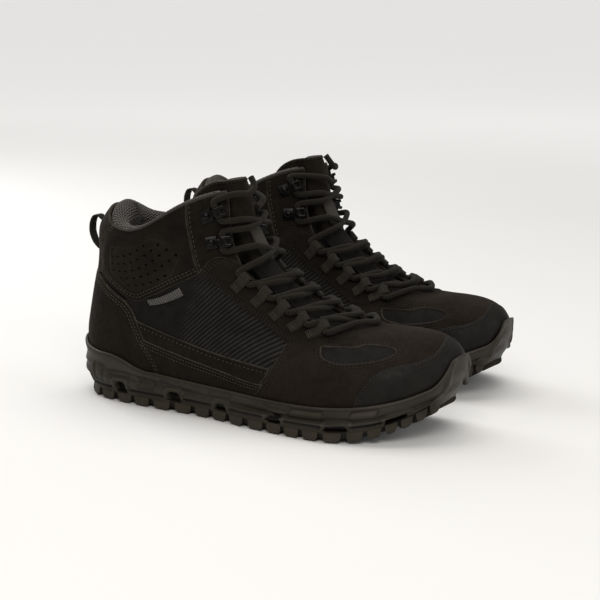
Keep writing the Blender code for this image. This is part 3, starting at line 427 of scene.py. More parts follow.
VAMP_IN = inward(VAMP_REAR, (60, 0.12))
WINDOW_IN = -inward(WINDOW[:40], (42, 0.22))       # into the vamp, away from the window
STRAP_IN = inward(STRAP_TOP, (100, 0.1))
TOE_IN = inward(TOE_EDGE, (25, 0.03))
EYESTAY_IN = inward(EYESTAY_OUTER, (46, 0.40))
THROAT_IN = inward(EYESTAY_THROAT, (46, 0.55))
EYESTAY_TOP_IN = inward(EYESTAY_TOP, (50, 0.6))
COUNTER_IN = inward(COUNTER_EDGE, (160, 0.3))
BACKSTAY_IN = inward(BACKSTAY, (175, 0.8))
COLLAR_IN = inward(COLLAR_LOW, (105, 0.85))
FACING_IN = inward(COLLAR_FACING, (50, 0.88))
FRONT_IN = inward(FACING_FRONT, (50, 0.88))

# Lace hardware, as (phi, rise)
LOOP_OUTER = [(53, 0.68), (49.5, 0.608), (48, 0.532), (48, 0.452), (46.5, 0.388)]   # sewn ends
LOOP_INNER = [(42.5, 0.712), (37, 0.645), (36, 0.568), (36, 0.487), (35, 0.412)]    # folds
HOOK_LOWER = ((53, 0.85), (42.5, 0.847))       # rivet and hook tip
HOOK_UPPER = ((51.5, 0.937), (40.5, 0.945))


# ---- outlines in the plane
def ring_of(*lines):
    """One outline from lines that meet end to end."""
    out = []
    for line in lines:
        for point in line:
            if not out or math.dist(point, out[-1]) > 1e-6:
                out.append(point)
    if math.dist(out[0], out[-1]) < 1e-6:
        out.pop()
    return out


def densify(ring, spacing):
    out = []
    for start, end in zip(ring, ring[1:] + ring[:1]):
        count = max(1, math.ceil(math.dist(start, end) / spacing))
        out += [(start[0] + (end[0] - start[0]) * i / count,
                 start[1] + (end[1] - start[1]) * i / count) for i in range(count)]
    return out


def signed_area(ring):
    pairs = zip(ring, ring[1:] + ring[:1])
    return sum(start[0] * end[1] - end[0] * start[1] for start, end in pairs) / 2


def inset(ring, distance):
    """The ring, run anticlockwise, moved inwards by the distance."""
    if signed_area(ring) < 0:
        ring = ring[::-1]
    out = []
    for i, point in enumerate(ring):
        point = Vector(point)
        before = (point - Vector(ring[i - 1])).normalized()
        after = (Vector(ring[(i + 1) % len(ring)]) - point).normalized()
        left = Vector((-before.y, before.x))
        way = left + Vector((-after.y, after.x))
        way = way.normalized() if way.length > 1e-6 else left
        lean = max(0.5, way.dot(left))
        moved = point + way * distance / lean
        out.append((moved.x, moved.y))
    return out


def inside(points, ring):
    x, y = points[:, 0], points[:, 1]
    odd = np.zeros(len(points), bool)
    for (ax, ay), (bx, by) in zip(ring, ring[1:] + ring[:1]):
        if ay == by:
            continue
        cross = (ay > y) != (by > y)
        odd ^= cross & (x < (bx - ax) * (y - ay) / (by - ay) + ax)
    return odd


# ---- panels
# A triangulated panel: points as (phi, rise), triangles, and millimetres per degree and rise
Panel = namedtuple("Panel", "at tris scale")


def tree_of(points):
    tree = KDTree(len(points))
    for i, point in enumerate(points):
        tree.insert(point, i)
    tree.balance()
    return tree


def flat(outline, holes=(), spacing=1.1, gap=0.15, rows=(0.14, 0.45, 0.95), seeds=()):
    """A fine triangulation of a panel, with rows of points following its edges."""
    middle = np.array(outline, float).mean(axis=0)
    across, up = metric(middle[0], middle[1])
    scale = np.array([max(0.7, float(np.linalg.norm(across))), float(np.linalg.norm(up))])

    def in_mm(line):
        return densify([(phi * scale[0], rise * scale[1]) for phi, rise in line], spacing)

    rings = [inset(in_mm(outline), gap)] + [inset(in_mm(hole), -gap) for hole in holes]

    def in_panel(points):
        good = inside(points, rings[0])
        for ring in rings[1:]:
            good &= ~inside(points, ring)
        return good

    points, edges = [], []
    for ring in rings:
        start = len(points)
        points += ring
        edges += [(start + i, start + (i + 1) % len(ring)) for i in range(len(ring))]
    border = np.array(points)
    ends = border[[edge[1] for edge in edges]]
    dots = np.concatenate([border, (border + ends) / 2])
    tree = tree_of(np.pad(dots, ((0, 0), (0, 1))))

    def clear_of(tree, point, distance):
        return tree.find((point[0], point[1], 0))[2] > distance

    extra = []
    for row in rows:
        for k, ring in enumerate(rings):
            near = np.array(inset(ring, row if k == 0 else -row))
            extra += [tuple(q) for q in near[in_panel(near)] if clear_of(tree, q, row * 0.85)]

    low, high = border.min(axis=0), border.max(axis=0)
    cols = int((high[0] - low[0]) / spacing) + 2
    lines = int((high[1] - low[1]) / (spacing * 0.87)) + 2
    i, j = np.meshgrid(np.arange(cols), np.arange(lines))
    grid = np.stack([low[0] + (i + 0.5 * (j % 2)) * spacing,
                     low[1] + j * spacing * 0.87], -1).reshape(-1, 2)
    reach = (rows[-1] if rows else 0) + spacing * 0.5
    grid = [tuple(q) for q in grid[in_panel(grid)] if clear_of(tree, q, reach)]
    if len(seeds):
        dots = np.array(seeds, float) * scale
        dots = [tuple(q) for q in dots[inside(dots, rings[0])]]
        seed_tree = tree_of([(*q, 0) for q in dots])
        grid = [q for q in grid if clear_of(seed_tree, q, 0.4)] + dots

    every = [Vector(q) for q in points + extra + grid]
    verts, _, faces, *_ = delaunay_2d_cdt(every, edges, [], 0, 1e-5)
    verts = np.array([tuple(q) for q in verts])
    tris = np.array([face for face in faces if len(face) == 3])
    tris = tris[in_panel(verts[tris].mean(axis=1))]
    used = np.unique(tris)
    index = np.full(len(verts), -1)
    index[used] = np.arange(len(used))
    return Panel(verts[used] / scale, index[tris], scale)


def open_edges(faces):
    """The edges that only one face has, kept in that face's order."""
    size = faces.shape[1]
    edges = np.concatenate([faces[:, [k, (k + 1) % size]] for k in range(size)])
    _, first, count = np.unique(
        np.sort(edges, axis=1), axis=0, return_index=True, return_counts=True)
    return edges[first[count == 1]]


def edge_distance(points, edges):
    """Distance of every point from the open border, along with the border's points."""
    border = np.unique(edges)
    tree = tree_of(points[border])
    nearest = np.array([border[tree.find(point)[1]] for point in points])
    links = [[] for _ in points]
    for start, end in edges:
        links[start].append(end)
        links[end].append(start)
    best = np.full(len(points), 1e9)
    for k in (0, 1):
        start = points[nearest]
        edge = points[np.array([links[i][k] for i in nearest])] - start
        part = ((points - start) * edge).sum(1) / np.maximum((edge * edge).sum(1), 1e-9)
        away = points - start - edge * np.clip(part, 0, 1)[:, None]
        best = np.minimum(best, np.linalg.norm(away, axis=1))
    best[border] = 0
    return best, border


def round_edge(distance, thick, radius):
    x = 1 - np.clip(distance / radius, 0, 1)
    return thick * np.sqrt(np.maximum(1 - x**2.6, 0))


def rough_noise(points, size, seed=0.0):
    """Smooth value noise in -1 .. 1 over points in millimetres."""
    scaled = points / size + seed
    cell = np.floor(scaled)
    part = scaled - cell
    part = part * part * (3 - 2 * part)
    out = 0
    for dx in (0, 1):
        for dy in (0, 1):
            for dz in (0, 1):
                value = np.sin((cell[:, 0] + dx) * 12.9898 + (cell[:, 1] + dy) * 78.233
                               + (cell[:, 2] + dz) * 37.719 + seed * 7.13) * 43758.5453
                value = value - np.floor(value)
                weight = 1
                for k, corner in enumerate((dx, dy, dz)):
                    weight = weight * (part[:, k] if corner else 1 - part[:, k])
                out = out + weight * value
    return 2 * out - 1


def seam_dots(line):
    """A (phi, rise) line as evenly spaced points on the surface."""
    line = np.array(line, float)
    points = upper(line[:, 0], np.clip(line[:, 1], 0, 1))
    total = lengths(points)
    return resample(np.arange(0, total[-1], 0.4), total, points)


def rows_beside(line, side, *distances):
    return [beside(line, side * distance) for distance in distances]


def skin(panel, height, sign=1, lift=-0.4, radius=0.9, relief=None, grooves=(), depth=0.25,
         wave=0.18, sink=0.4):
    """A closed body from a panel: its outer face at height, its edges rounded, with sewn grooves.

    relief(phi, rise, points, edge distance) gives extra height and tone. The sheet's columns are
    millimetres along phi and rise, distance from the edge, and tone.
    """
    at, tris = panel.at, panel.tris
    count = len(at)
    phi, rise = at[:, 0] * sign, at[:, 1]
    base = off_surface(phi, rise, lift)
    edge, border = edge_distance(base, open_edges(tris))
    up = round_edge(edge, height - lift, radius)
    tone = np.zeros(count)
    if wave:
        from_edge = np.clip(edge / 4, 0, 1)
        up = up + wave * rough_noise(base, 17.0, 3.1) * from_edge
        up = up + 0.35 * wave * rough_noise(base, 6.0, 9.7) * from_edge
    if relief is not None:
        more, shade = relief(at[:, 0], rise, base, edge)
        up, tone = up + more, tone + shade
    if len(grooves):
        lines = [seam_dots([(sign * p, r) for p, r in groove]) for groove in grooves]
        tree = tree_of(np.concatenate(lines))
        away = np.array([tree.find(point)[2] for point in base])
        from_edge = np.clip(edge / 0.5, 0, 1)
        up = up - depth * np.exp(-((away / 0.75) ** 2)) * from_edge
        # the grooves darkened with painted shade
        tone = tone - 0.45 * np.exp(-((away / 0.6) ** 2)) * from_edge
    free = np.ones(count, bool)
    free[border] = False
    low_index = np.arange(count)
    low_index[free] = count + np.arange(free.sum())
    low = off_surface(phi[free], rise[free], lift - sink)
    points = np.concatenate([off_surface(phi, rise, lift + up), low])
    turn = -sign
    faces = [tris[:, ::turn], low_index[tris][:, ::-turn]]
    sheet = np.stack([at[:, 0] * panel.scale[0], at[:, 1] * panel.scale[1], edge, tone], 1)
    return points, faces, np.concatenate([sheet, sheet[free]])


# ---- meshes. A shape is (points, list of face arrays, sheet)
def grid_quads(rows, cols):
    """Quads of a grid of points, row by row, whose columns join round."""
    i, j = np.meshgrid(np.arange(rows - 1), np.arange(cols), indexing="ij")
    k = (j + 1) % cols
    corners = [i * cols + j, i * cols + k, (i + 1) * cols + k, (i + 1) * cols + j]
    return np.stack(corners, -1).reshape(-1, 4)


def capped(rows, cols):
    """Faces of a tube of rows rings, each end closed by one polygon."""
    last = (rows - 1) * cols
    return [grid_quads(rows, cols), np.arange(cols)[None, ::-1],
            np.arange(last, last + cols)[None]]


def ladder(ring, flip=False):
    """Quads and end triangles that close a loop of point numbers."""
    count = len(ring)
    quads, tris = [], []
    for i in range(count // 2):
        corners = [ring[i], ring[(i + 1) % count], ring[(count - i - 1) % count],
                   ring[(count - i) % count]]
        corners = list(dict.fromkeys(corners))
        (quads if len(corners) == 4 else tris).append(corners)
    turn = -1 if flip else 1
    return [np.array(part)[:, ::turn] for part in (quads, tris) if part]


def loft(loops):
    """Points and faces of a closed body through loops of equal count."""
    rows, cols = len(loops), len(loops[0])
    faces = [grid_quads(rows, cols)] + ladder(range(cols), flip=True)
    return np.concatenate(loops), faces + ladder(range((rows - 1) * cols, rows * cols))


def join(shapes):
    """Several shapes as one."""
    points, faces, sheets, start = [], [], [], 0
    for part, part_faces, sheet in shapes:
        points.append(part)
        faces += [face + start for face in part_faces]
        if sheet is None:
            sheet = np.zeros((len(part), 3))
        if sheet.shape[1] == 3:
            sheet = np.column_stack([sheet, np.zeros(len(part))])
        sheets.append(sheet)
        start += len(part)
    return np.concatenate(points), faces, np.concatenate(sheets)


def make_mesh(name, points, faces, sheet=None):
    mesh = bpy.data.meshes.new(name)
    faces = [np.asarray(face, np.int32) for face in faces]
    loops = np.concatenate([face.ravel() for face in faces])
    sizes = np.concatenate([np.full(len(face), face.shape[1], np.int32) for face in faces])
    starts = np.concatenate([[0], np.cumsum(sizes)[:-1]]).astype(np.int32)
    mesh.vertices.add(len(points))
    mesh.vertices.foreach_set("co", np.asarray(points, np.float32).ravel())
    mesh.loops.add(len(loops))
    mesh.loops.foreach_set("vertex_index", loops)
    mesh.polygons.add(len(sizes))
    mesh.polygons.foreach_set("loop_start", starts)
    mesh.polygons.foreach_set("loop_total", sizes)
    mesh.update(calc_edges=True)
    mesh.validate()
    mesh.shade_smooth()
    if sheet is not None:
        flat_sheet = np.ascontiguousarray(sheet[:, :3], np.float32).ravel()
        mesh.attributes.new("sheet", "FLOAT_VECTOR", "POINT").data.foreach_set(
            "vector", flat_sheet)
        if sheet.shape[1] == 4:
            tone = np.ascontiguousarray(sheet[:, 3], np.float32)
            mesh.attributes.new("tone", "FLOAT", "POINT").data.foreach_set("value", tone)
    return mesh


def vertex_normals(points, faces):
    mesh = make_mesh("normals", points, faces)
    out = np.zeros(len(points) * 3, np.float32)
    mesh.vertex_normals.foreach_get("vector", out)
    bpy.data.meshes.remove(mesh)
    return out.reshape(-1, 3).astype(float)


def hooded(points):
    """Raises the collar a little at the very back, where it stands up round the padding."""
    weight = ease(points[:, 2], 131, 141) * fall(points[:, 0], 15, 38)
    out = points.copy()
    out[:, 0] += 4.2 * weight
    out[:, 2] += 5.6 * weight
    return out


def world(points, side):
    """Millimetres in the boot's own frame to metres in the pair's frame."""
    points = np.array(points, float)
    if side == "left":
        yaw = math.radians(LEFT_YAW)
        x, y = points[:, 0].copy(), -points[:, 1]
        points[:, 0] = x * math.cos(yaw) - y * math.sin(yaw) + LEFT_AT[0]
        points[:, 1] = x * math.sin(yaw) + y * math.cos(yaw) + LEFT_AT[1]
    points[:, 0] -= PAIR_CENTRE[0]
    points[:, 1] -= PAIR_CENTRE[1]
    return points * MM


BUILT = []      # (object, CAD piece it rides on, slot, CAD pieces it replaces)


def piece(name, shape, look, slot, replaces=(), body="boot", after=None):
    """Places a shape on both boots, riding on that body of each."""
    points, faces, sheet = shape
    if body == "boot":
        points = hooded(points)
    for side in ("right", "left"):
        turned = faces if side == "right" else [face[:, ::-1] for face in faces]
        mesh = make_mesh(f"{side}_{name}", world(points, side), turned, sheet)
        obj = bpy.data.objects.new(f"{side}_{name}", mesh)
        bpy.context.scene.collection.objects.link(obj)
        mesh.materials.append(look)
        if after:
            after(obj)
        BUILT.append((obj, f"{side}_{body}", slot, [f"{side}_{other}" for other in replaces]))


def hand_pieces(name, kind, build, look, slot):
    """A lateral and a medial piece, each from build(sign)."""
    for hand, sign in HANDS:
        whole = f"{name}_{hand}"
        piece(f"{whole}_{kind}", build(sign), look, slot, (whole,))


def face_out(obj):
    """Turns the faces outwards where a loft came out inside out."""
    edit = bmesh.new()
    edit.from_mesh(obj.data)
    if edit.calc_volume(signed=True) < 0:
        bmesh.ops.reverse_faces(edit, faces=edit.faces)
        edit.to_mesh(obj.data)
    edit.free()


def hard_edged(degrees):
    """A step that turns faces outwards and makes edges over the angle sharp."""
    def apply(obj):
        edit = bmesh.new()
        edit.from_mesh(obj.data)
        bmesh.ops.recalc_face_normals(edit, faces=edit.faces)
        edit.to_mesh(obj.data)
        edit.free()
        obj.data.set_sharp_from_angle(angle=math.radians(degrees))

    return apply


# ---- stitches: small capsules of thread, sunk at both ends
THREADS = {"light": [], "dark": []}
# Places along the capsule, as a part of its length, and radii, as a part of the thread's
CAPSULE_RINGS = ((-0.5, 0.35), (-0.42, 0.8), (-0.2, 1.0), (0.2, 1.0), (0.42, 0.8), (0.5, 0.35))
CAPSULE = np.array([(x, radius * math.cos(math.pi * k / 3), radius * math.sin(math.pi * k / 3))
                    for x, radius in CAPSULE_RINGS for k in range(6)])


def stitches_along(line, normals, length, pitch, radius, margin):
    """Capsules along a 3D line, starting a margin from its ends."""
    total = lengths(line)
    count = int((total[-1] - 2 * margin) / pitch)
    x = margin + (np.arange(count) + 0.5) * (total[-1] - 2 * margin) / count
    centre = resample(x, total, line)
    start, end = (resample(x + half, total, line) for half in (-length / 2, length / 2))
    out = resample(x, total, normals)
    out /= np.linalg.norm(out, axis=1, keepdims=True)
    along = unit(end - start)
    across = np.cross(out, along)
    dip = 0.28 * (np.abs(CAPSULE[:, 0]) * 2) ** 2.5
    high = CAPSULE[:, 2] * radius * 0.85 + 0.12 - dip
    points = centre[:, None] + along[:, None] * (CAPSULE[:, 0] * length)[None, :, None]
    points = points + across[:, None] * (CAPSULE[:, 1] * radius)[None, :, None]
    points = points + out[:, None] * high[None, :, None]
    quads, *caps = capped(6, 6)
    shift = (np.arange(count) * len(CAPSULE))[:, None, None]
    faces = [(quads[None] + shift).reshape(-1, 4),
             (np.concatenate(caps)[None] + shift).reshape(-1, 6)]
    sheet = np.zeros((count * len(CAPSULE), 3))
    sheet[:, 0] = np.repeat(x, len(CAPSULE))
    return points.reshape(-1, 3), faces, sheet


def stitch(line, side, distances, height, kind="light", pitch=3.2, length=2.1, signs=(1, -1)):
    """Rows of stitches beside a seam line, on both sides of the boot."""
    for row in rows_beside(line, side, *distances):
        for sign in signs:
            points = off_surface(row[:, 0] * sign, row[:, 1], height)
            out = normal(row[:, 0] * sign, np.clip(row[:, 1], 0, 1))
            THREADS[kind].append(stitches_along(
                points, out, length, pitch, radius=0.33, margin=0.8))


# ---- tubes and strips
def tube_along(line, radius, sides, spacing, relief):
    """A swept tube; relief(angle, length) is added to its radius."""
    total = lengths(line)
    x = np.linspace(0, total[-1], max(4, int(total[-1] / spacing)))
    line = resample(x, total, line)
    along = unit(np.gradient(line, axis=0))
    total = lengths(line)
    out = np.zeros_like(line)
    ref = np.array([0.0, 0.0, 1.0]) if abs(along[0][2]) < 0.9 else np.array([1.0, 0, 0])
    for i in range(len(line)):       # each frame is carried on from the one before
        ref = unit(ref - along[i] * np.dot(ref, along[i]))
        out[i] = ref
    across = np.cross(along, out)
    angle = np.arange(sides) * 2 * math.pi / sides
    radii = float(radius) + relief(angle[None, :], total[:, None])
    points = line[:, None] + out[:, None] * (radii * np.sin(angle)[None])[..., None]
    points = points + across[:, None] * (radii * np.cos(angle)[None])[..., None]
    faces = [face[:, ::-1] for face in capped(len(line), sides)]
    sheet = np.ones((len(line), sides, 3))
    sheet[..., 0] = angle * float(np.mean(radii))
    sheet[..., 1] = total[:, None]
    return points.reshape(-1, 3), faces, sheet.reshape(-1, 3)


def strip(centre, across, up, half, thick, rows=7, ribs=1.3, depth=0.12):
    """A webbing strip along a line, ribbed on both faces; up and half are given per point."""
    total = lengths(centre)
    x = np.linspace(0, total[-1], max(6, int(total[-1] / 0.35)))
    centre, up = resample(x, total, centre), resample(x, total, up)
    half = np.interp(x, total, half)
    steps = np.linspace(-0.96, 0.96, rows)
    profile = np.array([(-1.0, 0.0)] + [(step, 0.5) for step in steps]
                       + [(1.0, 0.0)] + [(-step, -0.5) for step in steps])
    wide, face = profile[:, 0], profile[:, 1]
    rib = depth * np.cos(2 * math.pi * x / ribs)
    high = face[None] * thick + np.sign(face)[None] * rib[:, None]
    points = centre[:, None] + across * (wide[None] * half[:, None])[..., None]
    points = points + up[:, None] * high[..., None]
    sheet = np.ones((len(x), len(profile), 3))
    sheet[..., 0] = x[:, None]
    sheet[..., 1] = wide * 4
    return points.reshape(-1, 3), capped(len(x), len(profile)), sheet.reshape(-1, 3)


# ---- materials
def times(colour, factor):
    return tuple(factor * channel for channel in colour)


def rgba(value):
    return (*value, 1.0) if isinstance(value, tuple) and len(value) == 3 else value


class Look:
    """A node material being written. Sizes, pitches and depths are in millimetres."""

    def __init__(self, name):
        self.material = bpy.data.materials.new(name)
        self.material.use_nodes = True
        self.tree = self.material.node_tree
        self.shader = self.tree.nodes["Principled BSDF"]
        scale = self.node("ShaderNodeVectorMath", operation="MULTIPLY")
        self.put(self.node("ShaderNodeTexCoord").outputs["Object"], scale.inputs[0])
        self.put((1000.0, 1000.0, 1000.0), scale.inputs[1])
        self.place = scale.outputs[0]

    @cached_property
    def sheet(self):
        """Sockets of the sheet attribute: along, up and distance from the edge."""
        attribute = self.node("ShaderNodeAttribute", attribute_name="sheet")
        split = self.node("ShaderNodeSeparateXYZ")
        self.put(attribute.outputs["Vector"], split.inputs[0])
        return split.outputs[0], split.outputs[1], split.outputs[2]

    def node(self, kind, **properties):
        made = self.tree.nodes.new(kind)
        for key, value in properties.items():
            setattr(made, key, value)
        return made

    def put(self, value, socket):
        if hasattr(value, "is_output"):
            self.tree.links.new(value, socket)
        else:
            socket.default_value = value

    def do(self, operation, *values):
        made = self.node("ShaderNodeMath", operation=operation)
        for value, socket in zip(values, made.inputs):
            self.put(value, socket)
        return made.outputs[0]

    def noise(self, size, detail=3.0, rough=0.55, distort=0.0):
        made = self.node("ShaderNodeTexNoise")
        self.put(self.place, made.inputs["Vector"])
        made.inputs["Scale"].default_value = 1.0 / size
        made.inputs["Detail"].default_value = detail
        made.inputs["Roughness"].default_value = rough
        made.inputs["Distortion"].default_value = distort
        return made.outputs["Fac"]

    def cells(self, size, random):
        made = self.node("ShaderNodeTexVoronoi")
        self.put(self.place, made.inputs["Vector"])
        made.inputs["Scale"].default_value = 1.0 / size
        made.inputs["Randomness"].default_value = random
        return made.outputs["Distance"]

    def ramp(self, value, *stops):
        """A colour ramp through (position, colour) stops."""
        made = self.node("ShaderNodeValToRGB")
        self.put(value, made.inputs[0])
        elements = made.color_ramp.elements
        while len(elements) < len(stops):
            elements.new(0.5)
        for element, (position, colour) in zip(elements, stops):
            element.position = position
            element.color = rgba(colour)
        return made.outputs["Color"]

    def mix(self, factor, first, second):
        made = self.node("ShaderNodeMix", data_type="RGBA")
        self.put(factor, made.inputs[0])
        self.put(rgba(first), made.inputs[6])
        self.put(rgba(second), made.inputs[7])
        return made.outputs[2]

    def band(self, value, over, to=(0.0, 1.0)):
        """The value eased from one to the other of to, over that span of it."""
        made = self.node("ShaderNodeMapRange", interpolation_type="SMOOTHSTEP")
        for socket, number in zip(made.inputs, (value, *over, *to)):
            self.put(number, socket)
        return made.outputs[0]

    def wave(self, value, pitch):
        return self.do("SINE", self.do("MULTIPLY", value, 2 * math.pi / pitch))

    def weighted(self, first, share, second, other_share):
        """A weighted sum of two values."""
        return self.do("ADD", self.do("MULTIPLY", first, share),
                       self.do("MULTIPLY", second, other_share))

    def bump(self, height, depth, strength, under=None):
        made = self.node("ShaderNodeBump")
        made.inputs["Strength"].default_value = strength
        made.inputs["Distance"].default_value = depth * MM
        self.put(height, made.inputs["Height"])
        if under is not None:
            self.put(under, made.inputs["Normal"])
        return made.outputs[0]

    def out(self, colour, rough, bump, **inputs):
        """Wires the shader; the mesh's tone attribute lightens or darkens the colour, carrying
        woven patterns as well as painted shade and painted highlights.
        """
        tone = self.node("ShaderNodeAttribute", attribute_name="tone").outputs["Fac"]
        shaded = self.node("ShaderNodeVectorMath", operation="SCALE")
        self.put(colour, shaded.inputs[0])
        self.put(self.do("MAXIMUM", self.do("ADD", tone, 1.0), 0.02), shaded.inputs["Scale"])
        self.put(shaded.outputs[0], self.shader.inputs["Base Color"])
        self.put(rough, self.shader.inputs["Roughness"])
        self.put(bump, self.shader.inputs["Normal"])
        for key, value in inputs.items():
            self.put(rgba(value), self.shader.inputs[key.replace("_", " ")])
        return self.material


def nubuck(name, dark, light, edge=(0.046, 0.040, 0.032)):
    look = Look(name)
    clouds = look.noise(size=23, detail=4, rough=0.6, distort=0.4)
    nap = look.noise(size=4.5, detail=5, rough=0.7, distort=0.8)
    pores = look.cells(size=0.62, random=1.0)
    fine = look.noise(size=0.35, detail=2, rough=0.6)
    middle = tuple((low + high) / 2 for low, high in zip(dark, light))
    mottle = look.weighted(clouds, 0.62, nap, 0.38)
    colour = look.ramp(mottle, (0.33, dark), (0.50, middle), (0.68, light))
    speck = look.band(fine, over=(0.3, 0.75), to=(0.0, 0.22))
    colour = look.mix(speck, colour, (0.0025, 0.002, 0.0015))
    # lighter along the panels' edges: partly the leather's lighter cut edge, partly a painted
    # highlight
    cut_edge_and_highlight = look.band(look.sheet[2], over=(0.35, 1.15), to=(1.0, 0.0))
    patchy = look.band(look.noise(size=5), over=(0.32, 0.6), to=(0.45, 1.0))
    colour = look.mix(look.do("MULTIPLY", cut_edge_and_highlight, patchy), colour, edge)
    bump = look.bump(nap, depth=0.22, strength=0.7)
    bump = look.bump(pores, depth=0.10, strength=0.6, under=bump)
    bump = look.bump(fine, depth=0.07, strength=0.7, under=bump)
    rough = look.band(nap, over=(0.3, 0.7), to=(0.96, 0.8))
    return look.out(colour, rough, bump, Sheen_Weight=0.03, Sheen_Roughness=0.4,
                    Sheen_Tint=(0.8, 0.6, 0.46), Specular_IOR_Level=0.09)


def woven(name, dark, light, pitch=1.3):
    look = Look(name)
    along, up, _ = look.sheet
    cross = look.do("MULTIPLY", look.wave(along, pitch), look.wave(up, pitch * 0.9))
    speck = look.cells(size=0.8, random=0.9)
    grain = look.noise(size=0.5, detail=2)
    shade = look.weighted(look.do("ADD", cross, 1.0), 0.3, grain, 0.55)
    colour = look.ramp(shade, (0.28, dark), (0.62, light), (0.9, times(light, 1.5)))
    patchy = look.band(look.noise(size=9), over=(0.35, 0.7), to=(0.0, 0.35))
    colour = look.mix(patchy, colour, dark)
    bump = look.bump(cross, depth=0.22, strength=0.9)
    bump = look.bump(grain, depth=0.12, strength=0.6, under=bump)
    rough = look.band(speck, over=(0.1, 0.7), to=(0.92, 0.74))
    return look.out(colour, rough, bump, Sheen_Weight=0.015, Sheen_Roughness=0.4,
                    Specular_IOR_Level=0.07)


def rubbered(name, dark, light):
    look = Look(name)
    pebble = look.cells(size=0.9, random=0.9)
    clouds = look.noise(size=18, detail=4, rough=0.6)
    fine = look.noise(size=0.45, detail=2)
    colour = look.ramp(clouds, (0.34, dark), (0.66, light))
    # lighter along the toe cap's edges: partly its lighter cut edge, partly a painted highlight
    cut_edge_and_highlight = look.band(look.sheet[2], over=(0.15, 0.8), to=(0.8, 0.0))
    colour = look.mix(cut_edge_and_highlight, colour, times(light, 1.9))
    speck = look.band(fine, over=(0.55, 0.8), to=(0.0, 0.25))
    colour = look.mix(speck, colour, times(light, 1.5))
    bump = look.bump(pebble, depth=0.16, strength=0.55)
    bump = look.bump(fine, depth=0.05, strength=0.5, under=bump)
    rough = look.band(look.noise(size=3.5), over=(0.3, 0.7), to=(0.62, 0.46))
    return look.out(colour, rough, bump, Specular_IOR_Level=0.13)


def moulded(name, dark, light, rough=(0.6, 0.45)):
    look = Look(name)
    clouds = look.noise(size=26, detail=4, rough=0.6)
    fine = look.noise(size=0.7, rough=0.6)
    scuff = look.noise(size=2.2, detail=5, rough=0.75, distort=1.2)
    colour = look.ramp(clouds, (0.3, dark), (0.7, light))
    dust = look.band(scuff, over=(0.56, 0.72), to=(0.0, 0.35))
    colour = look.mix(dust, colour, times(light, 1.45))
    bump = look.bump(fine, depth=0.05, strength=0.6)
    bump = look.bump(clouds, depth=0.4, strength=0.25, under=bump)
    rough = look.band(scuff, over=(0.35, 0.65), to=rough)
    return look.out(colour, rough, bump, Specular_IOR_Level=0.19)


KNIT_WIDE, KNIT_HIGH = 3.4, 2.3       # pitch of the chevrons, across and up


def knitted(name, dark, light, chevron=True):
    look = Look(name)
    along, up, _ = look.sheet
    if chevron:
        part = look.do("FRACT", look.do("DIVIDE", along, KNIT_WIDE))
        zigzag = look.do("ABSOLUTE", look.do("SUBTRACT", part, 0.5))
        turns = look.do("ADD", look.do("DIVIDE", up, KNIT_HIGH),
                        look.do("MULTIPLY", zigzag, 1.5))
        angle = look.do("MULTIPLY", turns, 2 * math.pi)
        rows = look.do("SINE", look.do("ADD", angle, 1.5708))
    else:
        rows = look.do("MULTIPLY", look.wave(along, 0.9), look.wave(up, 0.9))
    fuzz = look.noise(size=0.5)
    middle = tuple(0.55 * low + 0.45 * high for low, high in zip(dark, light))
    shade = look.weighted(rows, 0.42, fuzz, 0.6)
    colour = look.ramp(shade, (0.02, dark), (0.35, middle), (0.72, light))
    bump = look.bump(rows, depth=0.3, strength=0.8)
    bump = look.bump(fuzz, depth=0.2, strength=0.7, under=bump)
    return look.out(colour, 0.93, bump, Sheen_Weight=0.08, Sheen_Roughness=0.4,
                    Specular_IOR_Level=0.1)


def cord(name, dark, light):
    look = Look(name)
    around = look.do("MULTIPLY", look.sheet[0], 2 * math.pi / 1.75)
    along = look.do("MULTIPLY", look.sheet[1], 2 * math.pi / 2.6)
    braid = look.do("MULTIPLY", look.do("SINE", look.do("ADD", around, along)),
                    look.do("SINE", look.do("SUBTRACT", around, along)))
    strand = look.noise(size=0.35)
    shade = look.weighted(braid, 0.4, strand, 0.6)
    colour = look.ramp(shade, (0.12, dark), (0.55, light), (0.85, times(light, 1.35)))
    bump = look.bump(braid, depth=0.28, strength=0.8)
    bump = look.bump(strand, depth=0.14, strength=0.6, under=bump)
    return look.out(colour, 0.86, bump, Sheen_Weight=0.04, Sheen_Roughness=0.4,
                    Specular_IOR_Level=0.14)


def webbing(name, dark, light, pitch=1.3):
    look = Look(name)
    rib = look.wave(look.sheet[0], pitch)
    cross = look.wave(look.sheet[1], 0.8)
    fuzz = look.noise(size=0.45)
    weave = look.do("ADD", rib, look.do("MULTIPLY", cross, 0.5))
    shade = look.weighted(weave, 0.25, fuzz, 0.75)
    colour = look.ramp(shade, (0.1, dark), (0.6, light), (0.95, times(light, 1.35)))
    bump = look.bump(cross, depth=0.12, strength=0.5, under=look.bump(rib, 0.25, 0.8))
    bump = look.bump(fuzz, depth=0.15, strength=0.6,
                     under=look.bump(cross, depth=0.12, strength=0.5))
    return look.out(colour, 0.88, bump, Sheen_Weight=0.03, Specular_IOR_Level=0.14)


def painted(name):
    look = Look(name)
    fine = look.noise(size=0.6)
    wear = look.noise(size=2.4, detail=4, rough=0.7)
    colour = look.ramp(wear, (0.35, (0.0014, 0.0013, 0.0012)), (0.75, (0.0036, 0.0032, 0.0028)))
    rough = look.band(wear, over=(0.3, 0.75), to=(0.20, 0.34))
    return look.out(colour, rough, look.bump(fine, depth=0.02, strength=0.5), Metallic=0.0,
                    Specular_IOR_Level=0.12, Coat_Weight=0.03, Coat_Roughness=0.1)


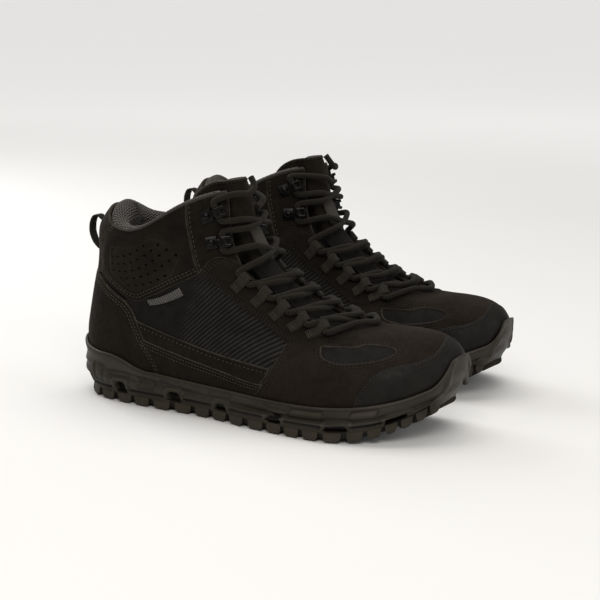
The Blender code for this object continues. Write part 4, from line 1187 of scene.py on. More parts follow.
def threaded(name, dark, light):
    look = Look(name)
    colour = look.ramp(look.noise(size=0.3, detail=2), (0.3, dark), (0.7, light))
    twist = look.wave(look.sheet[0], pitch=0.6)
    bump = look.bump(twist, depth=0.06, strength=0.6)
    return look.out(colour, 0.75, bump, Specular_IOR_Level=0.2)


def fibre_board(name, dark, light):
    look = Look(name)
    fibre = look.noise(size=1.5, detail=5, rough=0.7)
    colour = look.ramp(fibre, (0.3, dark), (0.7, light))
    return look.out(colour, 0.9, look.bump(fibre, depth=0.15, strength=0.7))


def webbing_look(name, dark, light, pitch=1.3):
    """Ribbed tape: ribs along the sheet under a finer fuzz."""
    look = Look(name)
    rib = look.wave(look.sheet[0], pitch)
    cross = look.wave(look.sheet[1], pitch=0.8)
    fuzz = look.noise(size=0.45)
    weave = look.do("ADD", rib, look.do("MULTIPLY", cross, 0.5))
    shade = look.weighted(weave, 0.25, fuzz, 0.75)
    colour = look.ramp(shade, (0.1, dark), (0.6, light), (0.95, times(light, 1.35)))
    bump = look.bump(cross, depth=0.12, strength=0.5,
                     under=look.bump(rib, depth=0.25, strength=0.8))
    bump = look.bump(fuzz, depth=0.15, strength=0.6, under=bump)
    return look.out(colour, 0.88, bump, Sheen_Weight=0.03, Specular_IOR_Level=0.14)


def webbing(name, dark, light, pitch=1.3):
    """Ribbed tape: ribs along the sheet, crossed by a finer weave and fuzz."""
    look = Look(name)
    rib = look.wave(look.sheet[0], pitch)
    cross = look.wave(look.sheet[1], pitch=0.8)
    fuzz = look.noise(size=0.45)
    weave = look.do("ADD", rib, look.do("MULTIPLY", cross, 0.5))
    shade = look.weighted(weave, 0.25, fuzz, 0.75)
    colour = look.ramp(shade, (0.1, dark), (0.6, light), (0.95, times(light, 1.35)))
    bump = look.bump(cross, depth=0.12, strength=0.5)
    bump = look.bump(fuzz, depth=0.15, strength=0.6, under=bump)
    return look.out(colour, 0.88, bump, Sheen_Weight=0.03, Specular_IOR_Level=0.14)


# Each: name, dark shade, light shade
LOOKS = {
    "nubuck": nubuck("nubuck", (0.0056, 0.0043, 0.0030), (0.0132, 0.0104, 0.0074)),
    "nubuck_warm": nubuck("nubuck_vamp", (0.0092, 0.0066, 0.0047), (0.0188, 0.0137, 0.0100)),
    # the eyestay's edges darker, with less painted highlight
    "nubuck_eye": nubuck("nubuck_eyestay", (0.0060, 0.0046, 0.0035), (0.0150, 0.0116, 0.0088),
                         edge=(0.018, 0.0145, 0.011)),
    "nubuck_dark": nubuck("nubuck_collar", (0.0052, 0.0041, 0.0029), (0.0122, 0.0096, 0.0069)),
    "textile": woven("woven_mesh", (0.0030, 0.0028, 0.0027), (0.0150, 0.0137, 0.0130)),
    # backing under the panels: painted shade for the gaps between them
    "gap_shade_textile": woven("gap_shade_backing", (0.002, 0.002, 0.002), (0.006, 0.0055, 0.005)),
    "toe": rubbered("rubberised_toe", (0.0046, 0.0041, 0.0034), (0.0095, 0.0085, 0.0070)),
    "midsole": moulded("midsole_foam", (0.0185, 0.0155, 0.0112), (0.0300, 0.0252, 0.0186)),
    "tread": moulded("tread_rubber", (0.0215, 0.0172, 0.0116), (0.0360, 0.0292, 0.0200),
                     rough=(0.66, 0.5)),
    "knit": knitted("chevron_knit", (0.0040, 0.0036, 0.0034), (0.150, 0.140, 0.133)),
    "knit_plain": knitted("plain_knit", (0.030, 0.027, 0.024), (0.085, 0.078, 0.071),
                          chevron=False),
    "knit_dark": knitted("footbed_fabric", (0.006, 0.0055, 0.0055), (0.026, 0.025, 0.024),
                         chevron=False),
    "lace": cord("braided_cord", (0.0030, 0.0024, 0.0017), (0.0260, 0.0214, 0.0152)),
    "webbing": webbing_look("loop_webbing", (0.0055, 0.0046, 0.0035), (0.0330, 0.0280, 0.0215)),
    "webbing_dark": webbing_look("pull_webbing", (0.005, 0.0044, 0.004),
                                 (0.024, 0.0215, 0.0185), pitch=1.5),     # on no piece
    "webbing_pale": webbing_look("keeper_webbing", (0.018, 0.016, 0.013),
                                 (0.080, 0.072, 0.060)),
    "label": webbing_look("label_webbing", (0.030, 0.028, 0.0255), (0.115, 0.110, 0.104),
                          pitch=2.2),
    "hook": painted("hook_paint"),
    "thread": threaded("pale_thread", (0.024, 0.020, 0.016), (0.072, 0.062, 0.050)),
    "thread_dark": threaded("dark_thread", (0.006, 0.0048, 0.0038), (0.031, 0.026, 0.0205)),
    "board": fibre_board("insole_board", (0.10, 0.08, 0.06), (0.2, 0.165, 0.125)),
}


# ---- the sole
LUG, PLATE = 4.5, 4.0      # lug depth and tread plate thickness
# How far the sole's lower edge and its widest part stand beyond the feather line: (phi, mm)
FLARE_LATERAL = (
    (0, -3), (20, -2), (40, 0.5), (50, 5), (60, 10), (75, 9.5), (88, 9), (97, 5), (108, 1.5),
    (125, 2.4), (150, 1.5), (180, -0.5))
FLARE_MEDIAL = (
    (0, -3), (20, -2.5), (40, 0), (50, 2), (60, 4), (75, 5), (88, 4), (100, 2), (110, 1.5),
    (125, 2.4), (150, 1.5), (180, -0.5))
BULGE_LATERAL = (
    (0, 6.5), (15, 6.5), (30, 6.5), (50, 8), (60, 9.5), (75, 8.5), (88, 7.5), (97, 5.5),
    (108, 3.8), (125, 4.5), (150, 6), (180, 7))
BULGE_MEDIAL = (
    (0, 6.5), (15, 6.5), (30, 6.2), (50, 6), (60, 6), (75, 6), (88, 5), (97, 4), (108, 3.6),
    (125, 4.5), (150, 6), (180, 7))
# How far up the upper the rim reaches: it humps round the heel and dips to the sides
RIM_RISE = (
    (0, 0.078), (8, 0.075), (13, 0.05), (19, 0.022), (119, 0.02), (125, 0.014), (129, 0.022),
    (136, 0.060), (141, 0.072), (151, 0.068), (161, 0.082), (172, 0.115), (180, 0.125))
# Arched openings in the midsole's side: phi, half width, top above the tread plate
OPENINGS = (
    (164.4, 5.2, 7.4), (137.0, 4.6, 7.0), (113.6, 5.2, 6.6), (96.6, 5.0, 4.4),
    (77.6, 6.0, 4.2), (57.6, 7.4, 3.6), (37.1, 7.4, 3.4))
# Stepped recesses on the heel's side: arc length, height, half width, half height
HEEL_RECESSES = ((301.0, 12.0, 5.5, 7.0), (256.0, 9.0, 8.0, 4.4), (332.0, 11.0, 5.0, 6.0))
# Ledges under the rim on the forefoot: arc length, half width
LEDGES = ((117.0, 12.5), (75.5, 9.0))
# phi of the edge lugs; the last only sets the spacing of the one before it
LUG_AT = (
    169.0, 157.5, 145.5, 135.5, 127.0, 118.5, 110.5, 103.5, 97.0, 90.5, 83.5, 77.3, 71.4, 65.4,
    58.5, 51.6, 45.2, 39.0, 32.5, 25.2, 17.0, 7.5)
FEATHER_PHI = np.linspace(0, 180, 3601)
FEATHER_ARC = lengths(upper(FEATHER_PHI, 0.0)[:, :2])


def sole_bottom(x):
    """Height of the ground contact: flat, sprung up at the toe and eased at the heel."""
    x = np.asarray(x, float)
    toe = 24.5 * (np.clip(x - 215, 0, 76) / 76) ** 2.3
    return toe + 3.0 * (np.clip(20 - x, 0, 20) / 20) ** 2


def by_side(phi, lateral, medial_side):
    around = from_toe(phi)
    return np.where(signed_turn(phi) >= 0, table(around, *lateral), table(around, *medial_side))


def flare_at(phi):
    return by_side(phi, FLARE_LATERAL, FLARE_MEDIAL)


def arc_of(phi):
    """Length along the feather line in plan, from the toe."""
    return np.interp(from_toe(phi), FEATHER_PHI, FEATHER_ARC)


def phi_of(arc):
    return np.interp(arc, FEATHER_ARC, FEATHER_PHI)


def phi_round(count):
    """phi all round the foot, evenly spaced along the feather line."""
    phi = phi_of(np.linspace(0, FEATHER_ARC[-1], count))
    return np.concatenate([phi, -phi[1:-1][::-1]])


def rounded_box(x, z, half_wide, half_high, radius):
    """Signed distance to a rounded rectangle."""
    x, z = np.abs(x) - half_wide + radius, np.abs(z) - half_high + radius
    outer = np.sqrt(np.maximum(x, 0) ** 2 + np.maximum(z, 0) ** 2)
    return outer + np.minimum(np.maximum(x, z), 0) - radius


def midsole_relief(phi, z):
    """Moulded detail at heights z above the tread plate: (height, tone). The tone paints shade
    into the openings, slots and recesses and along their edges, and a highlight on the ridges
    round the openings.
    """
    along = arc_of(phi)
    height, tone = np.zeros(z.shape), np.zeros(z.shape)
    for k, (at, half, top) in enumerate(OPENINGS):
        deep = k < 3
        x = along - arc_of(at)
        arch = rounded_box(x, z + 3.0, half, top + 3.0, min(half, 4.0))
        surround = rounded_box(x + 0.2, z + 3.0, half + 3.2, top + 6.0, 3.2)
        ridge = fall(np.abs(surround + 1.2), 0.6, 1.5)
        height += (1.15 if deep else 0.4) * ridge * ease(z, 0.4, 2.6)
        # a painted highlight on the ridge and painted shade just outside it
        tone += 0.22 * ridge - 0.22 * fall(np.abs(surround - 0.7), 0.2, 0.9)
        cut = fall(arch, -0.8, 0.3)
        height -= (6.0 if deep else 2.4) * cut
        # the opening filled with painted shade
        tone = tone * (1 - cut) - 0.97 * fall(arch, -0.5, 0.25)
        if k < 5:      # a short step over each opening of the rear half
            box = rounded_box(x - 0.5, z - top - 6.2, half + 4.6, 1.9, 1.0)
            height -= 0.9 * fall(box, -0.5, 0.5)
            # painted shade round the step's edge
            tone -= 0.28 * fall(np.abs(box), 0.2, 0.9)
    # a panel with a slot between each two openings that are far enough apart, with painted shade
    # in the slot and round the panel's edge
    arcs = [arc_of(at) for at, _, _ in OPENINGS]
    for start, end in zip(arcs[:-1], arcs[1:]):
        x, half = along - (start + end) / 2, abs(start - end) / 2 - 9.0
        if half > 3:
            cut = fall(rounded_box(x, z - 1.7, half, 0.9, 0.8), -0.35, 0.45)
            height -= 1.6 * cut
            tone -= 0.75 * cut
            box = rounded_box(x, z - 4.6, half + 1.6, 5.2, 1.6)
            tone -= 0.2 * fall(np.abs(box), 0.15, 0.8)
            height += 0.35 * fall(box, -0.6, 0.5)
    for arc, middle, half, half_high in HEEL_RECESSES:
        x = along - arc
        box = rounded_box(x, z - middle, half, half_high, 1.8)
        inner = rounded_box(x, z - middle, half - 2.6, half_high - 1.9, 1.0)
        height -= 0.95 * fall(box, -0.5, 0.5)
        height += 0.8 * fall(inner, -0.4, 0.5)
        # painted shade along the recesses' edges
        tone -= 0.22 * fall(np.abs(box), 0.1, 0.9) + 0.16 * fall(np.abs(inner), 0.1, 0.7)
    return height, tone


def rim_rise(phi):
    """The rim's rise, smoothed along the loop."""
    rise = table(from_toe(phi - 4.0 * (from_toe(phi) < 90)), *RIM_RISE)
    kernel = np.hanning(15) / np.hanning(15).sum()
    looped = np.concatenate([rise[-12:], rise, rise[:12]])
    return np.convolve(looped, kernel, "same")[12:-12]


def build_midsole():
    phi = phi_round(400)
    feather_z, bottom = upper(phi, 0.0)[:, 2], sole_bottom(upper(phi, 0.0)[:, 0])
    flare, bulge = flare_at(phi), by_side(phi, BULGE_LATERAL, BULGE_MEDIAL)
    rise, out, around = rim_rise(phi), plan_normal(phi), from_toe(phi)
    lip = off_surface(phi, rise, 2.9)
    lip_z = lip[:, 2]
    base = bottom + LUG + PLATE + 0.6
    band = feather_z - 3.5
    toe = fall(around, 9, 26)
    ends = np.maximum(toe, ease(around, 136, 160))   # the bumper and heel cup have higher walls
    under = fall(around, 15, 24) * (LUG + PLATE - 1.6)

    def blend(side, end):
        return side * (1 - ends) + end * ends

    # key lines of the wall, from the lip down: (part of the way, line)
    keys = (
        (0.0, lip + out * (0.9 - 0.6 * toe)[:, None] + np.array([0, 0, 0.5])),
        (0.05, lip + out * (1.9 - 1.5 * toe)[:, None] - np.array([0, 0, 0.3])),
        (0.22, plan(phi, blend(5.4, np.minimum(bulge, 6.2) - 1.5 * toe),
                    blend(band + 1.2, lip_z - 6.0))),
        (0.36, plan(phi, blend(np.minimum(4.6, bulge - 0.8),
                               np.minimum(bulge + 0.2, 6.6) - 0.5 * (1 - toe) - 2.1 * toe),
                    blend(band - 1.3, lip_z - 10.5))),
        (0.66, plan(phi, bulge - 4.6 * toe,
                    blend((band + base) / 2 + 0.5, base + 6.5 + 4.5 * (1 - toe)))),
        (0.92, plan(phi, flare * (1 - 0.55 * toe) + 1.2 - 0.4 * toe,
                    base + 1.6 - 0.55 * under)),
        (1.0, plan(phi, flare + 0.6 - 0.6 * toe, base - under)),
    )
    parts, lines = zip(*keys)
    rows = np.concatenate([np.linspace(0, 0.05, 3)[:-1], np.linspace(0.05, 0.92, 30)[:-1],
                           np.linspace(0.92, 1.0, 5)])
    wall = spline(parts, np.array(lines).reshape(len(keys), -1), rows)
    wall = wall.reshape(len(rows), len(phi), 3)
    round_way = np.roll(wall, -1, axis=1) - np.roll(wall, 1, axis=1)
    wall_out = unit(np.cross(round_way, np.gradient(wall, axis=0)))
    if (wall_out * out[None]).sum(2).mean() < 0:
        wall_out = -wall_out

    z = wall[:, :, 2] - base[None]
    height, tone = midsole_relief(phi, z)
    height, tone = height * (1 - toe), tone * (1 - toe)
    along, down = arc_of(phi), rows[:, None]
    # ledges under the rim: sunk, with painted shade round their border and a painted highlight
    # inside
    for arc, half in LEDGES:
        ledge = rounded_box(along - arc, (down - 0.17) * 26, half, 1.5, 1.2)
        height = height - 1.5 * fall(ledge, -0.5, 0.4)
        height = height + 0.5 * fall(np.abs(ledge - 0.8), 0.2, 0.9)
        tone = tone - 0.3 * fall(np.abs(ledge - 0.3), 0.2, 0.8) + 0.75 * fall(ledge, -0.9, -0.3)
    # the toe bumper: a raised strip with a ridge round its sides
    beyond = around - (13.5 + 9.0 * down)
    height = height + 1.3 * fall(beyond, -2.5, 0.0) * fall(down, 0.80, 0.97)
    height = height + 0.5 * np.exp(-(((beyond + 3.4) / 1.2) ** 2)) * fall(down, 0.75, 0.9)
    height = height + 0.10 * rough_noise(wall.reshape(-1, 3), 9.0, 5.0).reshape(z.shape)
    wall = wall + wall_out * height[..., None]

    inner = [plan(phi, -1.0, feather_z - 1.4), off_surface(phi, rise / 2, 1.6),
             lip - out * 0.4, lip + out * 0.3 + np.array([0, 0, 0.35])]
    loops = inner + list(wall) + [plan(phi, flare - 4.0, base - 0.05 - under)]
    points, faces = loft(loops)
    sheet = np.zeros((len(loops), len(phi), 4))
    sheet[..., 2] = 1.0
    wall_sheet = sheet[len(inner):len(inner) + len(rows)]
    wall_sheet[..., 0] = along
    wall_sheet[..., 1] = z
    # painted shade in a line under the lip and along the shoulder below it, and a painted
    # highlight along the lip's top
    line = np.exp(-(((down - 0.30) / 0.028) ** 2)) * 0.30
    line = line + np.exp(-(((down - 0.085) / 0.02) ** 2)) * 0.35
    tone = tone - line * (1 - 0.8 * toe) + 0.45 * fall(down, 0.03, 0.06)
    wall_sheet[..., 3] = np.clip(tone, -0.97, 0.9)
    piece("midsole_shell", (points, faces, sheet.reshape(-1, 4)), LOOKS["midsole"],
          "midsole_foam", ("midsole",), after=face_out)


def tread_plate():
    """The plate over the lugs, its edge following the sole and dented under the openings."""
    phi = phi_round(200)
    bottom, flare, along = sole_bottom(upper(phi, 0.0)[:, 0]), flare_at(phi), arc_of(phi)
    dent = np.zeros(len(phi))
    for k, (at, _, _) in enumerate(OPENINGS):
        half = 4.0 if k < 5 else 6.5
        dent = np.maximum(dent, fall(np.abs(along - arc_of(at)), half, half + 2.0))
    dent = np.maximum(dent, 1.6 * fall(from_toe(phi), 15, 24))
    top = bottom + LUG + PLATE
    points, faces = loft([
        plan(phi, flare - 6, top + 0.5),
        plan(phi, flare + 0.2 - 1.5 * dent, top + 0.45 - 1.4 * dent),
        plan(phi, flare + 0.3 - 1.2 * dent, top - 0.8 - 1.4 * dent),
        plan(phi, flare - 0.9, bottom + LUG + 0.9),
        plan(phi, flare - 1.6, bottom + LUG * 0.62),
        plan(phi, flare - 4.0, bottom + LUG * 0.55),
    ])
    # painted shade on the plate's hidden top edge and under its edge, deeper still in the dents
    # under the openings
    tone = np.array([-0.6, 0.05, 0.0, -0.78, -0.8, -0.8])[:, None]
    dented = np.array([0, 1, 1, 0, 0, 0])[:, None]
    sheet = np.zeros((len(points), 4))
    sheet[:, 3] = (tone - 0.7 * dent * dented).ravel()
    return points, faces, sheet


def edge_lug(side, before, arc, after):
    """A lug at the sole's edge, between its neighbours' arc lengths."""
    gap = (before - after) / 2
    top, low = gap * 0.375, gap * 0.235
    # half width, distance beyond the flare, depth inwards, height, from the top down
    levels = (
        (top + 0.5, -0.4, 17.0, LUG + 3.0), (top + 0.2, 0.5, 16.5, LUG + 2.4),
        (top * 0.98, 0.9, 16.0, LUG * 0.72), (low + 0.5, 1.1, 14.5, 1.3),
        (low, 0.5, 14.0, 0.45), (low - 0.7, -0.4, 13.2, 0.0))
    corners = np.array([-1, 0, 1, 0.72, 0, -0.72])
    inwards = np.array([0, 0, 0, 0.9, 1, 0.9])
    points = []
    for half, out, deep, height in levels:
        phi = phi_of(np.clip(arc + half * corners, 0.2, FEATHER_ARC[-1] - 0.2)) * side
        ring = plan(phi, flare_at(phi) + out - deep * inwards, 0.0)
        ring[:, 2] = sole_bottom(ring[:, 0]) + height
        points.append(ring)
    return np.concatenate(points), capped(len(levels), len(corners)), None


def centre_lug(x):
    """A small lug on the sole's middle line."""
    middle = float(midline(np.array([(x - 2) / 290]))[0])
    wide = 6.0 + 5.5 * math.exp(-((x - 210) / 50) ** 2)
    outline = np.array([(-4.2, 0), (-1.2, wide), (3.0, wide * 0.7), (1.0, 0),
                        (3.0, -wide * 0.7), (-1.2, -wide)])
    points = []
    for height, scale in ((LUG + 1.0, 1.1), (1.0, 0.95), (0.0, 0.8)):
        ring_x = x + outline[:, 0] * scale
        ring_y = middle + outline[:, 1] * scale
        points.append(np.column_stack([ring_x, ring_y, sole_bottom(ring_x) + height]))
    return np.concatenate(points), capped(3, len(outline)), None


def build_tread():
    arcs = arc_of(LUG_AT)
    shapes = [tread_plate()]
    for side in (1, -1):
        for before, arc, after in zip([arcs[0] + 13, *arcs], arcs[:-1], arcs[1:]):
            shapes.append(edge_lug(side, before, arc, after))
    shapes += [centre_lug(x) for x in np.arange(22, 268, 12.5)]
    piece("tread", join(shapes), LOOKS["tread"], "tread_rubber", ("outsole",),
          after=hard_edged(32))


# ---- the upper's panels
def build_base_layer():
    """A thin, dark layer under all panels, so that no gap shows through: it fills the gaps
    between them with painted shade.
    """
    throat = soft([(31, 1.0), (33, 0.93), (37, 0.85), (39, 0.755), (36.5, 0.68), (33.5, 0.58),
                   (31, 0.5), (27.5, 0.44), (17, 0.405), (0, 0.398)])
    ring = ring_of(level(0.0, -180, 180), [(180, i / 20) for i in range(1, 21)],
                   level(1.0, 180, 31), throat, medial(throat)[::-1], level(1.0, -31, -180),
                   [(-180, 1 - i / 20) for i in range(1, 20)])
    panel = flat(ring, spacing=4.0, gap=0.0, rows=())
    piece("base_layer", skin(panel, -0.1, lift=-1.0, radius=0.6, wave=0, sink=0.3),
          LOOKS["gap_shade_textile"], "textile")


def diagonal_weave(panel, phi, rise, pitch):
    """A diamond weave of that pitch, in -1 .. 1."""
    along, up = np.abs(phi) * panel.scale[0], rise * panel.scale[1]
    return (np.cos(2 * math.pi * (along + up) / pitch)
            * np.cos(2 * math.pi * (along - up) / pitch))


def build_quarters():
    """Woven mesh, plain at the back, with raised ribs bending over towards the instep."""
    panel = flat([
        (127.5, 0.59), (117, 0.60), (108, 0.66), (92, 0.72), (77, 0.76), (66, 0.77),
        (60, 0.69), (59, 0.64), (57.5, 0.595), (55, 0.55), (54.5, 0.485), (56, 0.405),
        (57, 0.35), (63, 0.28), (69, 0.21), (74.5, 0.14), (88, 0.17), (96, 0.21),
        (102, 0.255), (114, 0.325), (124.5, 0.37), (126, 0.48),
    ], spacing=QUARTER_SPACING, gap=0.0, rows=(0.4,))

    def ribs(phi, rise, points, edge):
        place = upper(phi, rise)
        x, z = place[:, 0] - 100.0, place[:, 2]
        across = z - (1.05 * x - 0.0036 * x**2)
        fade = ease(x - (z - 60.0) * 0.33, -16, 4)
        rib = (0.5 + 0.5 * np.cos(2 * math.pi * across / 3.7)) ** 1.2
        weave = diagonal_weave(panel, phi, rise, 3.1)
        height = fade * (0.55 * rib - 0.35) * ease(edge, 0.5, 5.0) + 0.10 * weave - 0.2
        # a painted highlight on the rib crests and painted shade between them; the woven
        # pattern's own tone elsewhere
        tone = fade * (2.3 * rib - 0.55) + (1 - fade) * (0.95 * weave - 0.05)
        return height, tone + fade * 0.25 * weave

    def quarter(sign):
        return skin(panel, QUARTER_OUT, sign, lift=-0.3, radius=0.6, relief=ribs, wave=0.25)

    hand_pieces("quarter", "mesh", quarter, LOOKS["textile"], "textile")


def build_windows():
    """The mesh windows beside the toe."""
    outline = soft([
        (57.5, 0.32), (60, 0.22), (55, 0.155), (46, 0.14), (34, 0.138), (26, 0.155),
        (24, 0.19), (26, 0.24), (31, 0.30), (40, 0.31), (48, 0.34), (57.5, 0.32)])[:-1]
    panel = flat(outline, spacing=0.8, gap=0.0, rows=(0.4,))

    def weave_and_fold(phi, rise, points, edge):
        weave = diagonal_weave(panel, phi, rise, 3.2)
        # a soft fold across the window's rear
        fold = np.exp(-(((np.abs(phi) - 48) + (rise - 0.23) * 60) / 2.2) ** 2) * 0.6
        return 0.16 * weave + fold, 0.15 + 1.1 * weave

    shapes = [skin(panel, WINDOW_OUT, sign, lift=-0.6, radius=0.6, relief=weave_and_fold,
                   wave=0.15) for sign in (1, -1)]
    piece("vamp_window_mesh", join(shapes), LOOKS["textile"], "textile", ("vamp_mesh",))


def build_vamp():
    # the hidden edges are tucked under the eyestay and the toe cap
    eyestay = [(max(phi, 0.4), rise) for phi, rise in beside(EYESTAY_FRONT, EYESTAY_IN * 2.5)]
    toe = [(max(phi, 0.4), rise) for phi, rise in beside(TOE_EDGE, TOE_IN * 2.5) if rise > 0.01]
    eyestay, toe = eyestay[2:-2], toe[:-2]
    ring = ring_of([(87.5, 0.0)], VAMP_LOW[::-1], VAMP_TOP[::-1], eyestay,
                   medial(eyestay)[::-1], medial(VAMP_TOP), medial(VAMP_LOW),
                   level(0.0, -87.5, -52), medial(toe), toe[::-1], level(0.0, 52, 87.5))
    panel = flat(ring, (WINDOW, medial(WINDOW)), spacing=1.3, gap=0.1)
    grooves = rows_beside(VAMP_REAR, VAMP_IN, 2.0)
    grooves += rows_beside(WINDOW_LOOP, WINDOW_IN, 1.8, 3.6)
    grooves += [medial(groove) for groove in grooves]

    def folds(phi, rise, points, edge):
        x, y = points[:, 0], points[:, 1]
        fold = 0.35 * np.sin(x / 5.2 + 0.4 * np.sin(y / 9)) * np.exp(-((x - 212) / 16) ** 2)
        return fold * np.clip(edge / 4, 0, 1) * np.clip((0.33 - rise) / 0.2, 0, 1), 0.0

    shape = skin(panel, VAMP_OUT, relief=folds, grooves=grooves, wave=0.22)
    piece("vamp_skin", shape, LOOKS["nubuck_warm"], "nubuck", ("vamp",))
    stitch(VAMP_REAR, VAMP_IN, (2.0, 3.7), VAMP_OUT - 0.1, "dark")
    stitch(WINDOW_LOOP, WINDOW_IN, (1.8, 3.6), VAMP_OUT - 0.1, "dark", pitch=2.9)


def build_straps():
    """Lower straps: a smooth band and a heavier one below it."""
    band = flat(ring_of(STRAP_TOP, VAMP_LOW, level(0.0, 87.5, 118.5),
                        [(119.5, 0.12), (121, 0.21), (122.5, 0.30), (124.5, 0.39)]),
                spacing=1.2, gap=0.1)
    foxing = flat(ring_of(FOXING_TOP, [(84, 0.06), (87.5, 0.0)], level(0.0, 87.5, 120.5),
                          [(121, 0.12), (122.5, 0.2)]), spacing=1.2, gap=0.05)

    def strap(sign):
        return join([
            skin(band, STRAP_OUT, sign, wave=0.2,
                 grooves=rows_beside(STRAP_TOP, STRAP_IN, 2.6)),
            skin(foxing, FOXING_OUT, sign, lift=0.4, wave=0.15,
                 grooves=rows_beside(FOXING_TOP, STRAP_IN, 2.3, 4.2))])

    hand_pieces("strap", "skin", strap, LOOKS["nubuck"], "nubuck")
    stitch(STRAP_TOP, STRAP_IN, (3.2,), STRAP_OUT - 0.1, pitch=3.6, length=1.7)
    stitch(FOXING_TOP, STRAP_IN, (2.6, 4.6), FOXING_OUT - 0.1, pitch=2.5, length=1.5)


def build_toe_cap():
    ring = ring_of(TOE_EDGE, medial(TOE_EDGE)[::-1], level(0.0, -54.5, 54.5))
    shape = skin(flat(ring, spacing=1.2, gap=0.05), TOE_OUT, radius=1.1, wave=0.1, depth=0.3,
                 grooves=rows_beside(TOE_WHOLE, TOE_IN, 2.3, 4.1))
    piece("toe_cap_skin", shape, LOOKS["toe"], "rubberised_toe", ("toe_cap",))
    stitch(TOE_WHOLE, TOE_IN, (2.3, 4.1), TOE_OUT - 0.12, "dark", pitch=2.8, signs=(1,))


def build_eyestay():
    """One piece round the throat."""
    ring = ring_of(EYESTAY_TOP, EYESTAY_THROAT, medial(EYESTAY_THROAT)[::-1],
                   medial(EYESTAY_TOP)[::-1], medial(EYESTAY_REAR), medial(EYESTAY_FRONT),
                   EYESTAY_FRONT[::-1], EYESTAY_REAR[::-1])
    grooves = rows_beside(EYESTAY_OUTER, EYESTAY_IN, 2.0, 3.8)
    grooves += rows_beside(EYESTAY_THROAT, THROAT_IN, 1.9)
    grooves += [medial(groove) for groove in grooves]
    shape = skin(flat(ring, gap=0.05), EYESTAY_OUT, radius=1.0, wave=0.2, grooves=grooves,
                 depth=0.22)
    piece("eyestay_skin", shape, LOOKS["nubuck_eye"], "nubuck", ("eyestay",))
    height = EYESTAY_OUT - 0.1
    stitch(EYESTAY_OUTER, EYESTAY_IN, (2.0, 3.6), height, "dark", pitch=2.5, length=1.4)
    stitch(EYESTAY_THROAT, THROAT_IN, (1.9,), height, pitch=3.0)
    stitch(EYESTAY_TOP, EYESTAY_TOP_IN, (1.9, 3.5), height, "dark", pitch=2.5, length=1.4)


def build_counter():
    """The heel counter, wrapped round the heel."""
    ring = ring_of(COUNTER_TOP, COUNTER_FRONT, level(0.0, 118.5, 241.5),
                   past_heel(COUNTER_FRONT)[::-1], past_heel(COUNTER_TOP)[::-1])
    grooves = rows_beside(COUNTER_EDGE, COUNTER_IN, 3.2, 5.2)
    grooves += [past_heel(groove) for groove in grooves]
    shape = skin(flat(ring, spacing=1.25, gap=0.05), COUNTER_OUT, radius=1.2, wave=0.2,
                 grooves=grooves, depth=0.28)
    piece("heel_counter_skin", shape, LOOKS["nubuck"], "nubuck", ("heel_counter",))
    stitch(COUNTER_EDGE, COUNTER_IN, (3.2, 5.2), COUNTER_OUT - 0.12, pitch=3.0)


def build_backstay():
    """The backstay above the counter, also wrapped round the heel."""
    low_edge = [(158, 0.60), (170, 0.60), (180, 0.60), (190, 0.60), (202, 0.60)]
    ring = ring_of(BACKSTAY, low_edge, past_heel(BACKSTAY)[::-1], level(1.0, 231.5, 128.5))
    grooves = rows_beside(BACKSTAY, BACKSTAY_IN, 2.0)
    grooves += [past_heel(groove) for groove in grooves]
    shape = skin(flat(ring, spacing=1.2, gap=0.05), BACKSTAY_OUT, wave=0.15, grooves=grooves)
    piece("backstay_skin", shape, LOOKS["nubuck"], "nubuck", ("backstay",))
    stitch(BACKSTAY, BACKSTAY_IN, (2.0,), BACKSTAY_OUT - 0.1, pitch=3.0)


# The collar's embossed patch: corners as (phi, rise); its perforations' half axes and pitches
PATCH = [(131, 0.885), (93.5, 0.935), (71.5, 0.855), (85.5, 0.75), (117.5, 0.63), (136, 0.70)]
HOLE_AXES = np.array([1.25, 0.8])
HOLE_PITCHES = np.array([6.9, -2.5]), np.array([-6.0, -4.4])


def rounded_corners(corners):
    out = []
    for i, corner in enumerate(corners):
        before, after = corners[i - 1], corners[(i + 1) % len(corners)]
        start, end = (corner + (q - corner) * min(0.3, 4 / np.linalg.norm(corner - q))
                      for q in (before, after))
        for x in np.linspace(0, 1, 6):
            out.append(tuple((1 - x) ** 2 * start + 2 * x * (1 - x) * corner + x * x * end))
    return out


